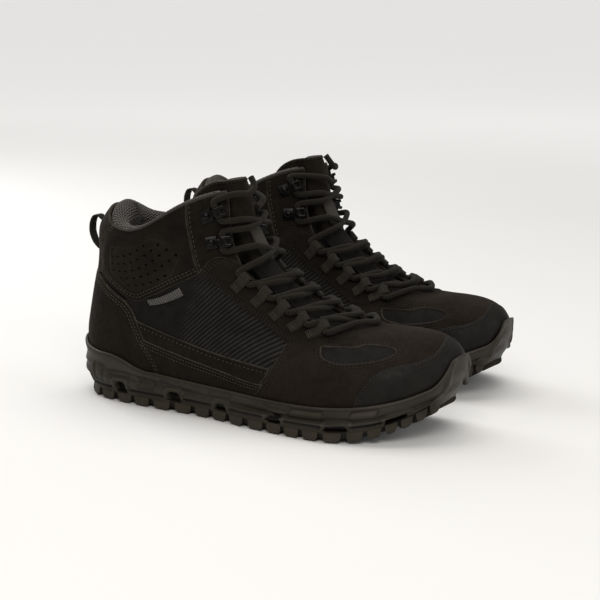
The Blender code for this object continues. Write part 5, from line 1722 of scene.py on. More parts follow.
def build_collars():
    """Padded collars, with an embossed, perforated patch."""
    scale = np.array([float(np.linalg.norm(way)) for way in metric(100.0, 0.79)])
    corners = np.array(PATCH) * scale
    outline = rounded_corners(corners)
    centre = np.mean(corners, axis=0)
    coarse = np.array(densify(outline, 1.0))
    holes = []
    for i in range(-6, 7):
        for j in range(-6, 7):
            hole = centre + HOLE_PITCHES[0] * i + HOLE_PITCHES[1] * j + np.array([0.8, 0.5])
            room = np.min(np.linalg.norm(hole - coarse, axis=1))
            if inside(np.array([hole]), outline)[0] and room > 2.6:
                holes.append(hole)
    seeds = []
    for hole in holes:        # rings of points round every perforation
        seeds.append(hole)
        for size, count in ((0.42, 8), (0.8, 8), (1.15, 10)):
            for k in range(count):
                turn = 2 * math.pi * k / count
                seeds.append(hole + np.array([HOLE_AXES[0] * size * math.cos(turn),
                                              HOLE_AXES[1] * size * math.sin(turn)]))
    ring = ring_of(COLLAR_FACING, COLLAR_LOW[::-1], BACKSTAY[::-1], level(1.0, 128.5, 65))
    panel = flat(ring, gap=0.05, seeds=[tuple(seed / scale) for seed in seeds])
    holes = np.array(holes)
    border = np.array(densify(outline, 0.4))

    def patch(phi, rise, points, edge):
        place = np.stack([np.abs(phi) * scale[0], rise * scale[1]], 1)
        near = np.array([np.min(np.linalg.norm(border - q, axis=1)) for q in place])
        within = inside(place, outline)
        hole = np.linalg.norm((place[:, None] - holes[None]) / HOLE_AXES, axis=2).min(axis=1)
        height = np.where(within, 0.35 * ease(near, 0.3, 1.4), 0.0)
        height = height - 0.35 * np.exp(-((near / 0.8) ** 2)) - 1.5 * fall(hole, 0.5, 1.0)
        height = height + 0.9 * ease(edge, 0.5, 9.0) - 0.7 * np.exp(-((1 - rise) / 0.035) ** 2)
        # the patch lighter than the collar round it; a painted highlight on the shoulders of the
        # groove round it, painted shade in the groove, and the perforations filled with painted
        # shade
        tone = np.where(within, 0.22, -0.12) + 0.45 * np.exp(-(((near - 0.9) / 0.6) ** 2))
        tone = tone - 0.35 * np.exp(-((near / 0.5) ** 2))
        return height, np.where(hole < 1.05, -0.95, tone)

    def collar(sign):
        return skin(panel, COLLAR_OUT, sign, lift=-0.3, radius=1.1, relief=patch, wave=0.3,
                    grooves=rows_beside(COLLAR_LOW, COLLAR_IN, 3.2, 5.2))

    hand_pieces("collar", "skin", collar, LOOKS["nubuck_dark"], "nubuck")
    stitch(COLLAR_LOW, COLLAR_IN, (3.2,), COLLAR_OUT + 0.35, pitch=3.0)
    stitch(COLLAR_LOW, COLLAR_IN, (5.2,), COLLAR_OUT + 0.6, pitch=3.0)


def build_facings():
    """The facings, which carry the hooks."""
    ring = ring_of(COLLAR_FACING, EYESTAY_TOP, FACING_FRONT, level(1.0, 29.5, 65))
    panel = flat(ring, gap=0.05)

    def facing(sign):
        return skin(panel, FACING_OUT, sign, lift=-0.3, radius=1.0, wave=0.35,
                    grooves=rows_beside(COLLAR_FACING, FACING_IN, 2.3))

    hand_pieces("facing", "skin", facing, LOOKS["nubuck"], "nubuck")
    stitch(COLLAR_FACING, FACING_IN, (2.3,), FACING_OUT - 0.05, pitch=3.4)
    stitch(FACING_FRONT, FRONT_IN, (1.9,), FACING_OUT - 0.05, "dark")


def build_side_tab():
    """The folded tab under the collar's lower edge, left blank."""
    upper_edge = [(111, 0.598), (103, 0.63), (95, 0.662), (86, 0.695)]
    lower_edge = [(86.8, 0.652), (95, 0.621), (103, 0.588), (110.5, 0.558)]
    panel = flat(ring_of(soft(upper_edge), soft(lower_edge)), spacing=0.6, gap=0.0,
                 rows=(0.15, 0.4))

    def tape(phi, rise, points, edge):
        ribs = 0.10 * np.cos(2 * math.pi * np.abs(phi) * panel.scale[0] / 1.0)
        fold = 0.25 * np.exp(-(((np.abs(phi) - 107.8) / 0.7) ** 2))
        return ribs - fold + 0.55 * ease(edge, 0.2, 2.2), 0.0

    shape = skin(panel, 2.5, lift=1.2, radius=0.5, relief=tape, wave=0.15, sink=0.1)
    piece("side_label_tab", shape, LOOKS["label"], "webbing", ("side_label",))


def build_piping():
    """Corded piping along the collar edge."""
    def twist(angle, length):
        return 0.26 * np.cos(2 * math.pi * length / 2.6 + angle)

    shapes = []
    for sign in (1, -1):
        line = off_surface(np.linspace(31, 133, 400) * sign, 1.0, 0.55)
        line[:, 2] += 0.3
        shapes.append(tube_along(line, 1.05, sides=10, spacing=0.4, relief=twist))
    piece("piping", join(shapes), LOOKS["knit_plain"], "knit")


# ---- footbed
def build_footbed():
    count = 160
    phi = np.linspace(0, 360, count, endpoint=False)
    low = upper(phi, 0.0)[:, 2] + 1.2
    thick = table(from_toe(phi), (0, 3.5), (90, 4.5), (180, 6.5))
    edge = plan(phi, -8.6, low)
    half = slice(0, count // 2 + 1)
    order = np.argsort(edge[half, 0])
    edge_x = edge[half, 0][order]
    middle_y = midline(np.clip((edge[:, 0] - 2) / 290, 0, 1))
    # part of the width, part of the thickness
    levels = (
        (0.0, 0), (0.985, 0), (1.0, 0.25), (1.0, 0.6), (0.992, 0.95), (0.975, 1.0),
        (0.93, 0.93), (0.8, 0.86), (0.6, 0.82), (0.4, 0.8), (0.2, 0.8), (0.0, 0.8))
    loops = []
    for wide, high in levels:
        ring = edge.copy()
        ring[:, 1] = middle_y + (edge[:, 1] - middle_y) * wide
        if wide < 0.9:
            ring[:, 0] = edge[:, 0] * (0.5 + 0.5 * wide) + 145 * (0.5 - 0.5 * wide)
        base = np.interp(ring[:, 0], edge_x, low[half][order])
        ring[:, 2] = base + np.interp(ring[:, 0], edge_x, thick[half][order]) * high
        loops.append(ring)
    points, faces = loft(loops)
    sheet = np.stack([points[:, 0], points[:, 1], np.ones(len(points))], -1)
    piece("footbed_pad", (points, faces, sheet), LOOKS["knit_dark"], "footbed_foam",
          ("footbed",), body="footbed_body", after=face_out)


# ---- hooks
def frame_at(outer, inner, lift, sign):
    """Origin at the inner point, then three unit vectors, from outer to inner, along the row
    and out of the surface, and the distance between the points."""
    start, end = (upper(sign * phi, rise) for phi, rise in (outer, inner))
    middle = sign * (outer[0] + inner[0]) / 2, (outer[1] + inner[1]) / 2
    out = normal(*middle)
    length = np.linalg.norm(end - start)
    across = end - start - out * np.dot(end - start, out)
    across /= np.linalg.norm(across)
    origin = off_surface(*middle, lift) + across * length / 2
    return origin, across, np.cross(out, across), out, length


def rounded_plate(half_x, half_y, thick, radius, bevel=0.35):
    """A rounded rectangular plate with bevelled edges."""
    corner_x, corner_y = half_x - radius, half_y - radius
    ring = []
    for x, y, start in ((corner_x, corner_y, 0), (-corner_x, corner_y, 90),
                        (-corner_x, -corner_y, 180), (corner_x, -corner_y, 270)):
        for angle in np.radians(np.linspace(start, start + 90, 6)):
            ring.append((x + radius * math.cos(angle), y + radius * math.sin(angle)))
    ring = np.array(ring)
    loops = []
    for shrink, z in ((bevel, 0.0), (0.0, bevel * 0.8), (0.0, thick - bevel),
                      (bevel * 0.35, thick - bevel * 0.3), (bevel, thick)):
        scale = np.array([(half_x - shrink) / half_x, (half_y - shrink) / half_y])
        loops.append(np.column_stack([ring * scale, np.full(len(ring), z)]))
    return loft(loops)


def dome(radius, height, rings=8, around=24):
    """A rivet's dome on a short skirt."""
    def circle(size, z):
        turns = [2 * math.pi * k / around for k in range(around)]
        return [(size * math.cos(turn), size * math.sin(turn), z) for turn in turns]

    points = []
    for i in range(rings):
        angle = (math.pi / 2) * i / rings
        points += circle(radius * math.cos(angle), height * math.sin(angle))
    top = len(points)
    skirt = top + 1
    points += [(0, 0, height)] + circle(radius, -0.5)
    pairs = [(k, (k + 1) % around) for k in range(around)]
    sides = np.array([(skirt + k, skirt + after, after, k) for k, after in pairs])
    last = (rings - 1) * around
    fan = np.array([(last + k, last + after, top) for k, after in pairs])
    cap = np.arange(skirt, skirt + around)[None, ::-1]
    quads = np.concatenate([grid_quads(rings, around), sides])
    return np.array(points, float), [quads, fan, cap]


def hook_head():
    """The hook's head: a rounded plate with a slot in its front edge."""
    ring = densify([
        (-3.7, -4.1), (2.9, -4.1), (3.9, -3.2), (3.9, -1.7), (0.2, -1.5), (-0.6, -0.9),
        (-0.6, 0.9), (0.2, 1.5), (3.9, 1.7), (3.9, 3.2), (2.9, 4.1), (-3.7, 4.1), (-4.5, 3.1),
        (-4.7, 0), (-4.5, -3.1)], 0.8)
    count = len(ring)
    levels = ((0.30, 0.0), (0.02, 0.30), (0.0, 1.25), (0.12, 1.55), (0.42, 1.75))   # inset, z
    points = np.concatenate([
        np.column_stack([inset(ring, shrink) if shrink else ring, np.full(count, z)])
        for shrink, z in levels])
    faces = [grid_quads(len(levels), count)]
    edges = [(i, (i + 1) % count) for i in range(count)]
    for start, turn in ((0, -1), ((len(levels) - 1) * count, 1)):
        outline = [Vector(point[:2]) for point in points[start:start + count]]
        _, _, tris, *_ = delaunay_2d_cdt(outline, edges, [], 1, 1e-5)
        tris = np.array([tri for tri in tris if len(tri) == 3])
        faces.append(tris[:, ::turn] + start)
    return points, faces


def build_hooks():
    for hand, sign in HANDS:
        for where, (rivet, tip) in (("lower", HOOK_LOWER), ("upper", HOOK_UPPER)):
            origin, across, along, out, length = frame_at(rivet, tip, PANEL, sign)

            def placed(shape, at, lift, turn=0.0):
                """A shape set at a distance across from the tip, lifted and turned."""
                points, faces = shape
                x = points[:, :1] * math.cos(turn) - points[:, 1:2] * math.sin(turn)
                y = points[:, :1] * math.sin(turn) + points[:, 1:2] * math.cos(turn)
                place = origin + across * at + across * x + along * y
                return (place + out * (points[:, 2:] + lift), faces, np.ones((len(points), 3)))

            shape = join([
                placed(rounded_plate(4.6, 4.6, 1.5, 0.9), -length, lift=0.15, turn=0.06),
                placed(dome(2.9, 1.5), -length, lift=1.75),
                placed(rounded_plate(3.35, 3.35, 0.5, 3.3, bevel=0.15), -length, lift=1.55),
                placed(rounded_plate(length / 2, 2.4, 0.9, 0.6, bevel=0.2),
                       -(length / 2 - 1), lift=0.1),
                placed(rounded_plate(1.5, 3.0, 5.6, 0.7, bevel=0.3), 3.2, lift=0.2),
                placed(hook_head(), 0.4, lift=6.1)])
            name = f"hook_{hand}_{where}"
            piece(f"{name}_metal", shape, LOOKS["hook"], "hook_metal", (name,),
                  after=hard_edged(42))


# ---- webbing
def build_pull():
    """The pull loop at the heel."""
    x = min(off_surface(180.0, rise, PANEL)[0] for rise in (0.90, 0.72))
    line = catmull([(x + out, 0.0, z) for out, z in (
        (0.6, 132.0), (-1.0, 132.5), (-4.0, 134.8), (-7.8, 134.0), (-10.2, 129.0),
        (-10.4, 122.0), (-8.0, 115.5), (-4.5, 111.4), (-1.4, 109.0), (0.6, 108.2))], 8)
    along = unit(np.gradient(line, axis=0))
    up = np.stack([-along[:, 2], 0 * along[:, 0], along[:, 0]], 1)
    bow = np.sin(np.linspace(0, 1, len(line)) * math.pi)
    shape = strip(line, np.array([0.0, 1.0, 0.0]), up, 1.8 + 2.6 * bow**0.45, 1.1, rows=9,
                  ribs=1.5)
    piece("pull_loop_web", shape, LOOKS["webbing"], "webbing", ("pull_loop",),
          body="pull_loop_body", after=face_out)


def lace_loop(outer, inner, sign):
    """A webbing loop, from its sewn end up over the cord and back under it."""
    origin, across, along, out, length = frame_at(outer, inner, EYESTAY_OUT, sign)
    radius, cord_z = 2.75, LACE_OVER_LOOPS - EYESTAY_OUT
    path = [(-length - 2.2, 0.5), (-length - 0.5, 1.45), (-length * 0.75, 1.6), (-5.6, 2.0),
            (-3.7, 4.0), (-1.9, cord_z + radius - 0.35)]
    path += [(radius * math.sin(turn) * 0.98, cord_z + radius * math.cos(turn))
             for turn in np.radians([-12, 10, 35, 60, 85, 110, 135, 158])]
    path += [(-1.4, 0.62), (-length * 0.5, 0.55), (-length - 1.0, 0.0)]
    path = catmull(path, 6)
    step = unit(np.gradient(path, axis=0))
    line = origin + across * path[:, :1] + out * path[:, 1:]
    up = across * -step[:, 1:] + out * step[:, :1]
    half = 3.7 + 0.25 * np.sin(np.linspace(0, math.pi, len(line)))
    for row, height in ((-0.6, 1.35 + 0.7), (1.1, 1.35)):
        seam = origin - across * (length + row) + along * np.linspace(-3.3, 3.3, 12)[:, None]
        seam = seam + out * height
        THREADS["light"].append(stitches_along(
            seam, np.broadcast_to(out, seam.shape), length=1.5, pitch=2.0, radius=0.28,
            margin=0.1))
    return strip(line, along, up, half, 0.95)


def build_lace_loops():
    def side_loops(sign):
        return join([lace_loop(*ends, sign) for ends in zip(LOOP_OUTER, LOOP_INNER)])

    hand_pieces("lace_loops", "web", side_loops, LOOKS["webbing"], "webbing")


# ---- lace
def lace_line():
    """One lace: from its lateral end down to the front bar, and up again to its medial end."""
    under, over = 0.7, 5.4       # lift of the two halves where they cross

    def through_loop(side, k):
        origin, _, along, *_ = frame_at(LOOP_OUTER[k], LOOP_INNER[k], LACE_OVER_LOOPS, side)
        return [origin + along * shift * side for shift in (-6.4, 0, 6.4)]

    def round_hook(side, ends, last):
        origin, across, along, *_ = frame_at(*ends, LACE_OVER_HOOKS, side)
        return [origin - across * 0.6 + along * shift * side for shift in (-7.0, 0, last)]

    def middle(rise, lift, phi=0.0):
        return off_surface(phi, rise, lift)

    def crossing(phi, rises, lift, middle_lift):
        """Over from phi to -phi."""
        return [middle(rises[0], lift, phi), middle(rises[1], middle_lift),
                middle(rises[2], lift, -phi)]

    halves = []
    for sign in (1, -1):
        # this half starts in the front loop on its side and crosses over at every row
        side = sign
        line = through_loop(side, 4)
        for k in (3, 2, 1, 0):
            low, high = LOOP_INNER[k + 1][1], LOOP_INNER[k][1]
            rises = (0.62 * low + 0.38 * high, (low + high) / 2 + 0.004,
                     0.38 * low + 0.62 * high)
            lift = under if k % 2 == (sign > 0) else over
            line += crossing(side * 20, rises, 5.0, lift)
            side = -side
            line += through_loop(side, k)
        line += crossing(side * 22, (0.765, 0.79, 0.815), 5.8, under + 1.9)
        side = -side
        line += round_hook(side, HOOK_LOWER, 7.0)
        line += crossing(side * 21, (0.878, 0.893, 0.908), 5.8, under + 1.9)
        side = -side
        line += round_hook(side, HOOK_UPPER, 8.5)
        halves.append(line)
    front = [middle(0.385, 5.6, 20), middle(0.374, 4.9), middle(0.385, 5.6, -20)]
    first, second = halves
    first += [middle(0.993, 6.4, 26), middle(0.988, 6.2, 13),
              middle(1.0, 5.8, 3) + np.array([0, 0, 1.0]),
              middle(1.0, 5.4) + np.array([-4.0, 0, 7.5])]
    second += [middle(0.962, 6.4, -14), middle(0.945, 5.4, -4), middle(0.94, 4.9, 4)]
    return catmull(first[::-1] + front + second, 2)


def build_lace():
    line = catmull(lace_line(), 10)
    for _ in range(6):
        line[1:-1] = line[1:-1] * 0.5 + (line[:-2] + line[2:]) * 0.25

    def braid(angle, length):
        turn = 2 * math.pi * length / 3.0
        return 0.10 * np.cos(4 * angle + turn) * np.cos(4 * angle - turn) + 0.10

    shape = tube_along(line, LACE_RADIUS - 0.05, sides=16, spacing=0.55, relief=braid)
    piece("lace_cord", shape, LOOKS["lace"], "cord", ("lace",))


# ---- padding
def puff(points, faces, hold, pressure, cap, frames=16):
    """Swells a padded shape with cloth under light pressure, where hold is not 1, and caps how
    far each point moves."""
    scene = bpy.context.scene
    mesh = make_mesh("puff", points * MM, [faces])
    obj = bpy.data.objects.new("puff", mesh)
    scene.collection.objects.link(obj)
    group = obj.vertex_groups.new(name="hold")
    for i, weight in enumerate(hold):
        if weight > 0.001:
            group.add([i], float(weight), "REPLACE")
    cloth = obj.modifiers.new("cloth", "CLOTH")
    settings = cloth.settings
    settings.quality = 4
    settings.mass = 0.3
    settings.tension_stiffness = 25
    settings.compression_stiffness = 25
    settings.shear_stiffness = 10
    settings.bending_stiffness = 1.0
    settings.use_pressure = True
    settings.uniform_pressure_force = pressure
    settings.vertex_group_mass = "hold"
    settings.pin_stiffness = 1.0
    settings.effector_weights.gravity = 0
    cloth.collision_settings.use_collision = False
    cloth.point_cache.frame_start = 1
    cloth.point_cache.frame_end = frames
    for number in range(1, frames + 1):
        scene.frame_set(number)
    evaluated = obj.evaluated_get(bpy.context.evaluated_depsgraph_get())
    swollen = evaluated.to_mesh()
    place = np.zeros(len(swollen.vertices) * 3, np.float32)
    swollen.vertices.foreach_get("co", place)
    evaluated.to_mesh_clear()
    place = place.reshape(-1, 3).astype(float) / MM
    bpy.data.objects.remove(obj, do_unlink=True)
    bpy.data.meshes.remove(mesh)
    scene.frame_set(1)
    if not np.isfinite(place).all():      # the simulation may blow up
        return points
    move = place - points
    far = np.linalg.norm(move, axis=1, keepdims=True)
    move *= np.minimum(1, cap / np.maximum(far, 1e-9))
    # even out the swelling between neighbours
    third = [2, 3] if faces.shape[1] == 4 else [2, 0]
    edges = np.concatenate([faces[:, [0, 1]], faces[:, [1, 2]], faces[:, third]])
    count = np.zeros(len(move))
    np.add.at(count, edges.ravel(), 1)
    for _ in range(4):
        total = np.zeros_like(move)
        np.add.at(total, edges[:, 0], move[edges[:, 1]])
        np.add.at(total, edges[:, 1], move[edges[:, 0]])
        move = 0.5 * move + 0.5 * total / np.maximum(count, 1)[:, None]
    return points + move * (1 - hold)[:, None]


# The tongue's outline on the lateral side, from the bottom up
TONGUE = [
    (0, 0.405), (12, 0.41), (22, 0.435), (27, 0.5), (28.5, 0.58), (31, 0.68), (33.5, 0.76),
    (42, 0.84), (52, 0.9), (60, 0.95), (63, 0.985), (61, 1.015), (54, 1.06), (42, 1.09),
    (24, 1.098), (0, 1.1)]


def build_tongue_pad():
    line = soft(TONGUE, spacing=1.5)
    panel = flat(ring_of(line, medial(line)[::-1]), spacing=1.6, gap=0.0, rows=(0.5, 1.3))
    at, tris = panel.at, panel.tris
    phi, rise = at[:, 0], at[:, 1]
    base = tongue_surface(phi, rise)
    out = vertex_normals(base, [tris[:, ::-1]])
    edge, border = edge_distance(base, open_edges(tris))
    full = 4.2 + 2.0 * ease(rise, 0.86, 1.0)
    up = 0.9 * round_edge(edge, 1.0, 3.0) * ease(rise, 0.82, 0.95) - 0.2
    up = up - 0.35 * np.exp(-(((edge - 3.4) / 0.7) ** 2))      # a sewn line round the edge
    top = base + out * up[:, None]
    low = base - out * (0.3 + (full - 0.3) * round_edge(edge, 1.0, 4.0))[:, None]
    top[border] = base[border] - out[border] * 1.6
    free = np.ones(len(at), bool)
    free[border] = False
    index = np.arange(len(at))
    index[free] = len(at) + np.arange(free.sum())
    points = np.concatenate([top, low[free]])
    sheet = np.stack([phi * panel.scale[0], rise * panel.scale[1], edge], 1)
    sheet = np.concatenate([sheet, sheet[free]])
    faces = np.concatenate([tris[:, ::-1], index[tris]])
    sewn = np.where(rise > 0.86, np.exp(-(((edge - 3.4) / 0.9) ** 2)), 1.0)
    hold = np.concatenate([sewn, np.zeros(free.sum()) + (rise[free] < 0.5)])
    hold[border] = 1
    points = puff(points, faces, hold, pressure=5.0, cap=1.8)
    # ribs on the mesh below, soft waves on the nubuck above
    mesh_zone = fall(np.concatenate([rise, rise[free]]), 0.765, 0.775)
    outer = np.concatenate([np.ones(len(at)), np.zeros(free.sum())])
    rib = np.cos(2 * math.pi * sheet[:, 0] / 1.9) * mesh_zone
    out = vertex_normals(points, [faces])
    points = points + out * (0.15 * rib * outer)[:, None]
    waves = 0.25 * rough_noise(points, 11.0, 2.0) * (1 - mesh_zone) * outer
    points = points + out * (waves * np.clip(sheet[:, 2] / 5, 0, 1))[:, None]

    def paint(obj):
        """Mesh low on the outer face, plain knit on the inner one."""
        obj.data.materials.append(LOOKS["textile"])
        obj.data.materials.append(LOOKS["knit_plain"])
        kinds = np.zeros(len(obj.data.polygons), np.int32)
        # validating may drop faces, and then the order of the rest is not known
        if len(kinds) == 2 * len(tris):
            kinds[:len(tris)] = np.where(rise[tris].mean(axis=1) < 0.77, 1, 0)
            kinds[len(tris):] = 2
        obj.data.polygons.foreach_set("material_index", kinds)

    piece("tongue_pad", (points, [faces], sheet), LOOKS["nubuck"], "nubuck", ("tongue",),
          body="tongue_body", after=paint)


def build_tongue_thread():
    half = [(59, 0.97), (57, 1.015), (44, 1.065), (22, 1.077)]
    line = np.array(soft(half + [(0, 1.079)] + medial(half)[::-1]))
    out = normal(line[:, 0], np.clip(line[:, 1], 0, 1))
    seam = tongue_surface(line[:, 0], line[:, 1]) + out * 0.9
    shape = stitches_along(seam, out, length=2.0, pitch=3.2, radius=0.3, margin=1.0)
    piece("tongue_thread", shape, LOOKS["thread_dark"], "nubuck", body="tongue_body")


def build_tongue_keeper():
    """The webbing keeper: a band folded to a point, which holds the lace down."""
    panel = flat([(15, 0.795), (15, 0.872), (5, 0.885), (0, 0.885), (-5, 0.885), (-15, 0.872),
                  (-15, 0.795), (-6, 0.775), (0, 0.768), (6, 0.775)],
                 spacing=0.7, gap=0.0, rows=(0.2, 0.6))

    def ribs(phi, rise, points, edge):
        rib = 0.14 * np.cos(2 * math.pi * rise * panel.scale[1] / 1.25)
        return rib + 0.5 * ease(edge, 0.0, 3.0), 0.0

    shape = skin(panel, -1.1, lift=-2.6, radius=0.5, relief=ribs, wave=0.1, sink=0.0)
    piece("tongue_keeper_web", shape, LOOKS["webbing_pale"], "webbing", ("tongue_keeper",),
          body="tongue_body")


def throat_half(rise):
    """phi of the lining's front edge, either side of the throat."""
    return table(np.minimum(rise, 1.0), (0.0, 0.0), (0.38, 0.0), (0.385, 19), (0.42, 34),
                 (0.5, 40), (0.6, 41), (0.9, 39), (1.0, 37))


def lining_grid():
    """Outer and inner sheets of the lining on one grid of (row, phi); rows past 1 roll over
    the collar's edge."""
    cols = np.linspace(-180, 180, LINING_COLS, endpoint=False)
    rise_rows = np.concatenate([np.linspace(0.035, 0.45, 16)[:-1], np.linspace(0.45, 0.985, 40)])
    roll_rows = np.linspace(0, 1, 26)[1:]
    heel = np.exp(-(((180 - from_toe(cols)) / 42.0) ** 2))
    front = np.clip((70 - np.abs(cols)) / 30, 0, 1)
    wide = 7.5 + 17.0 * heel - 2.0 * front
    medial_hump = np.exp(-(((cols + 115) / 35.0) ** 2))
    level_out = normal(cols, 1.0)
    level_out[:, 2] = 0
    level_out /= np.linalg.norm(level_out, axis=1, keepdims=True)
    outer, inner = [], []
    for rise in rise_rows:
        toe = 3.0 * ease(-np.abs(cols), -32, -12) * ease(-rise, -0.3, -0.18)
        sheet = off_surface(cols, rise, -2.9 - toe)
        pad = table(rise, (0.0, 2.3), (0.3, 2.8), (0.55, 3.6), (0.75, 5.5), (0.9, 6.5),
                    (1.0, 7.0))
        pad = pad + (wide - 7.5) * ease(rise, 0.66, 0.98)
        outer.append(sheet)
        inner.append(sheet - normal(cols, rise) * pad[:, None])
    start = off_surface(cols, 0.995, 0.1 - 2.8 * heel)
    end = start - level_out * wide[:, None]
    last = inner[-1]
    peak = 0.5 + 0.1 * heel
    for roll in roll_rows:
        if roll < 0.62:
            turn = roll / 0.62 * math.pi / 2
            part = peak * (1 - math.cos(turn))
        else:
            turn = (1 + (roll - 0.62) / 0.38) * math.pi / 2
            part = peak - (1 - peak) * math.cos(turn)
        part = np.clip(part, 0, 1)[:, None]
        ring = start * (1 - part) + end * part
        hump = (2.8 + 5.6 * heel + 3.4 * medial_hump) * max(math.sin(turn), 0) ** 0.9
        ring[:, 2] = start[:, 2] + hump
        outer.append(ring)
        inner.append(last + (end - last) * (0.02 + 0.93 * roll)
                     + level_out * (0.45 * math.sin(roll * math.pi)))
    return cols, np.concatenate([rise_rows, 1 + roll_rows]), np.array(outer), np.array(inner)


def column_lengths(sheet):
    """Length up every column of a grid of points."""
    out = np.zeros(sheet.shape[:2])
    out[1:] = np.cumsum(np.linalg.norm(np.diff(sheet, axis=0), axis=2), axis=0)
    return out


def build_lining():
    cols, rows, outer, inner = lining_grid()
    row_count, col_count = outer.shape[:2]
    total = row_count * col_count
    half = throat_half((rows[:-1] + rows[1:]) / 2)
    keep = np.abs(cols + 180.0 / col_count)[None, :] >= half[:, None]
    # thin the padding towards the throat's edges, so that they close round
    half = throat_half(rows)[:, None]
    reach = (np.abs(cols)[None, :] - half) * 0.9
    rounded = np.sqrt(np.clip(1 - (1 - np.clip(reach / 5.0, 0, 1)) ** 2, 0.02, 1))
    close = np.where(half > 0, rounded, 1.0)[..., None]
    centre = outer * 0.7 + inner * 0.3
    rolled = (rows > 1.0)[:, None, None]
    outer, inner = (np.where(rolled, sheet, centre + (sheet - centre) * close)
                    for sheet in (outer, inner))

    # sheet coordinates run up the outer face and on down the inner one
    steps = np.linalg.norm(np.diff(outer[40], axis=0, append=outer[40][:1]), axis=1)
    along = np.broadcast_to(np.cumsum(steps)[None], (row_count, col_count))
    up, inner_up = column_lengths(outer), column_lengths(inner)
    down = up[-1][None] + (inner_up[-1][None] - inner_up)
    ones = np.ones_like(up)
    sheet = np.concatenate([
        np.stack([along, way, ones], -1).reshape(-1, 3) for way in (up, down)])

    index = np.arange(total).reshape(row_count, col_count)
    faces = []
    for j in range(row_count - 1):
        k = np.nonzero(keep[j])[0]
        after = (k + 1) % col_count
        quad = np.stack([index[j, k], index[j, after], index[j + 1, after], index[j + 1, k]], -1)
        faces += [quad, quad[:, [0, 3, 2, 1]] + total]
    rim = open_edges(np.concatenate(faces[0::2]))
    sides = np.stack([rim[:, 1], rim[:, 0], rim[:, 0] + total, rim[:, 1] + total], -1)
    quads = np.concatenate(faces + [sides])
    used = np.unique(quads)
    index = np.full(2 * total, -1)
    index[used] = np.arange(len(used))
    points = np.concatenate([outer.reshape(-1, 3), inner.reshape(-1, 3)])[used]
    sheet, quads = sheet[used], index[quads][:, ::-1]

    row_of = np.tile(np.repeat(rows, col_count), 2)[used]
    is_inner = used >= total
    hold = np.where(is_inner, np.clip((0.5 - row_of) / 0.1, 0, 1),
                    np.where(row_of > 1.02, 0.0, 1.0))
    points = puff(points, quads, hold, pressure=7.0, cap=2.2)
    # knit relief after the padding has swelled
    zigzag = np.abs(np.mod(sheet[:, 0] / KNIT_WIDE, 1) - 0.5) * 2
    knit = np.cos(2 * math.pi * (sheet[:, 1] / KNIT_HIGH + zigzag * 0.75))
    relief = 0.22 * knit - 0.12 * (1 - np.abs(zigzag * 2 - 1))
    out = vertex_normals(points, [quads])
    points = points + out * relief[:, None] * (1 - hold)[:, None]
    piece("lining_pad", (points, [quads], sheet), LOOKS["knit"], "knit", ("lining",),
          after=face_out)


# ---- build the boots
build_midsole()
build_tread()
build_base_layer()
build_quarters()
build_windows()
build_vamp()
build_straps()
build_toe_cap()
build_eyestay()
build_counter()
build_backstay()
build_collars()
build_facings()
build_side_tab()
build_piping()
build_footbed()
build_hooks()
build_pull()
build_lace_loops()
build_lace()
build_tongue_pad()
build_tongue_thread()
build_tongue_keeper()
build_lining()
piece("stitching_pale", join(THREADS["light"]), LOOKS["thread"], "nubuck")
piece("stitching_dark", join(THREADS["dark"]), LOOKS["thread_dark"], "nubuck")

for obj, rides, slot, replaced in BUILT:
    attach(obj, rides)
    if replaced:
        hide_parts(*replaced)
for side in ("right", "left"):
    board = frame["nodes"][f"{side}_insole_board"]
    board.data.materials.clear()
    board.data.materials.append(LOOKS["board"])


# ---- floor, light and camera, in metres
def floor_look():
    """A pale floor that glows for the camera away from the boots."""
    look = Look("studio_floor")
    far = look.node("ShaderNodeVectorMath", operation="LENGTH")
    look.put(look.node("ShaderNodeNewGeometry").outputs["Position"], far.inputs[0])
    seen = look.node("ShaderNodeLightPath").outputs["Is Camera Ray"]
    away = look.band(far.outputs["Value"], over=(0.4, 2.4), to=(0.0, 0.5))
    colour = look.ramp(look.noise(size=900, detail=2),
                       (0.3, (0.77, 0.77, 0.77)), (0.7, (0.80, 0.80, 0.80)))
    bump = look.bump(look.noise(size=3), depth=0.05, strength=0.3)
    return look.out(colour, 0.75, bump, Emission_Color=(1.0, 0.99, 0.975),
                    Emission_Strength=look.do("MULTIPLY", away, seen))


def build_floor():
    corners = [(-30, -12, 0), (30, -12, 0), (30, 45, 0), (-30, 45, 0)]
    mesh = bpy.data.meshes.new("floor")
    mesh.from_pydata(corners, [], [(0, 1, 2, 3)])
    floor = bpy.data.objects.new("floor", mesh)
    bpy.context.scene.collection.objects.link(floor)
    mesh.materials.append(floor_look())


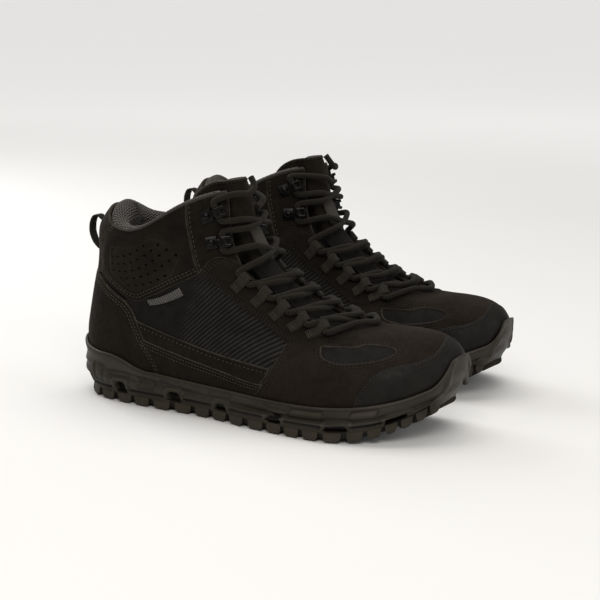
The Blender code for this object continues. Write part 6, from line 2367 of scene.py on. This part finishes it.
def build_world():
    studio = bpy.data.worlds.new("studio")
    studio.use_nodes = True
    background = studio.node_tree.nodes["Background"]
    background.inputs["Color"].default_value = (1.0, 0.985, 0.965, 1)
    background.inputs["Strength"].default_value = 0.34
    bpy.context.scene.world = studio


def softbox(name, at, aim, size, power, colour=(1, 1, 1)):
    """A rectangular area light that faces its aim."""
    light = bpy.data.lights.new(name, "AREA")
    light.shape = "RECTANGLE"
    light.size, light.size_y = size
    light.energy = power
    light.color = colour
    obj = bpy.data.objects.new(name, light)
    obj.location = at
    obj.rotation_euler = (Vector(aim) - Vector(at)).to_track_quat("-Z", "Y").to_euler()
    bpy.context.scene.collection.objects.link(obj)


def build_camera():
    azimuth, elevation = math.radians(26.64), math.radians(11.89)
    roll = math.radians(0.80)
    distance = 1.2876
    target = Vector((0.150 - PAIR_CENTRE[0] * MM, -PAIR_CENTRE[1] * MM, 0.070))
    backward = Vector((math.sin(azimuth) * math.cos(elevation),
                       -math.cos(azimuth) * math.cos(elevation), math.sin(elevation)))
    camera = bpy.data.objects.new("camera", bpy.data.cameras.new("camera"))
    bpy.context.scene.collection.objects.link(camera)
    camera.rotation_mode = "QUATERNION"
    camera.rotation_quaternion = (backward.to_track_quat("Z", "Y")
                                  @ Quaternion((0, 0, 1), roll))
    camera.location = target + backward * distance
    camera.data.sensor_width = 36.0
    camera.data.lens = 105.864
    camera.data.shift_x = 0.04553333
    camera.data.shift_y = 0.03141667
    camera.data.clip_end = 20
    bpy.context.scene.camera = camera


build_floor()
build_world()
softbox("key", at=(0.55, -1.3, 1.25), aim=(0, 0, 0.06), size=(1.0, 0.7), power=13,
        colour=(1.0, 0.96, 0.90))
softbox("top", at=(-0.1, 0.25, 1.5), aim=(0, 0, 0.05), size=(1.4, 1.1), power=13,
        colour=(1.0, 0.97, 0.92))
softbox("rim", at=(-1.25, 0.35, 0.8), aim=(0, 0, 0.08), size=(0.7, 0.9), power=9)
softbox("front", at=(1.5, 0.0, 0.65), aim=(0, 0, 0.05), size=(0.8, 0.8), power=4)
build_camera()
bpy.context.scene.view_settings.view_transform = "Standard"
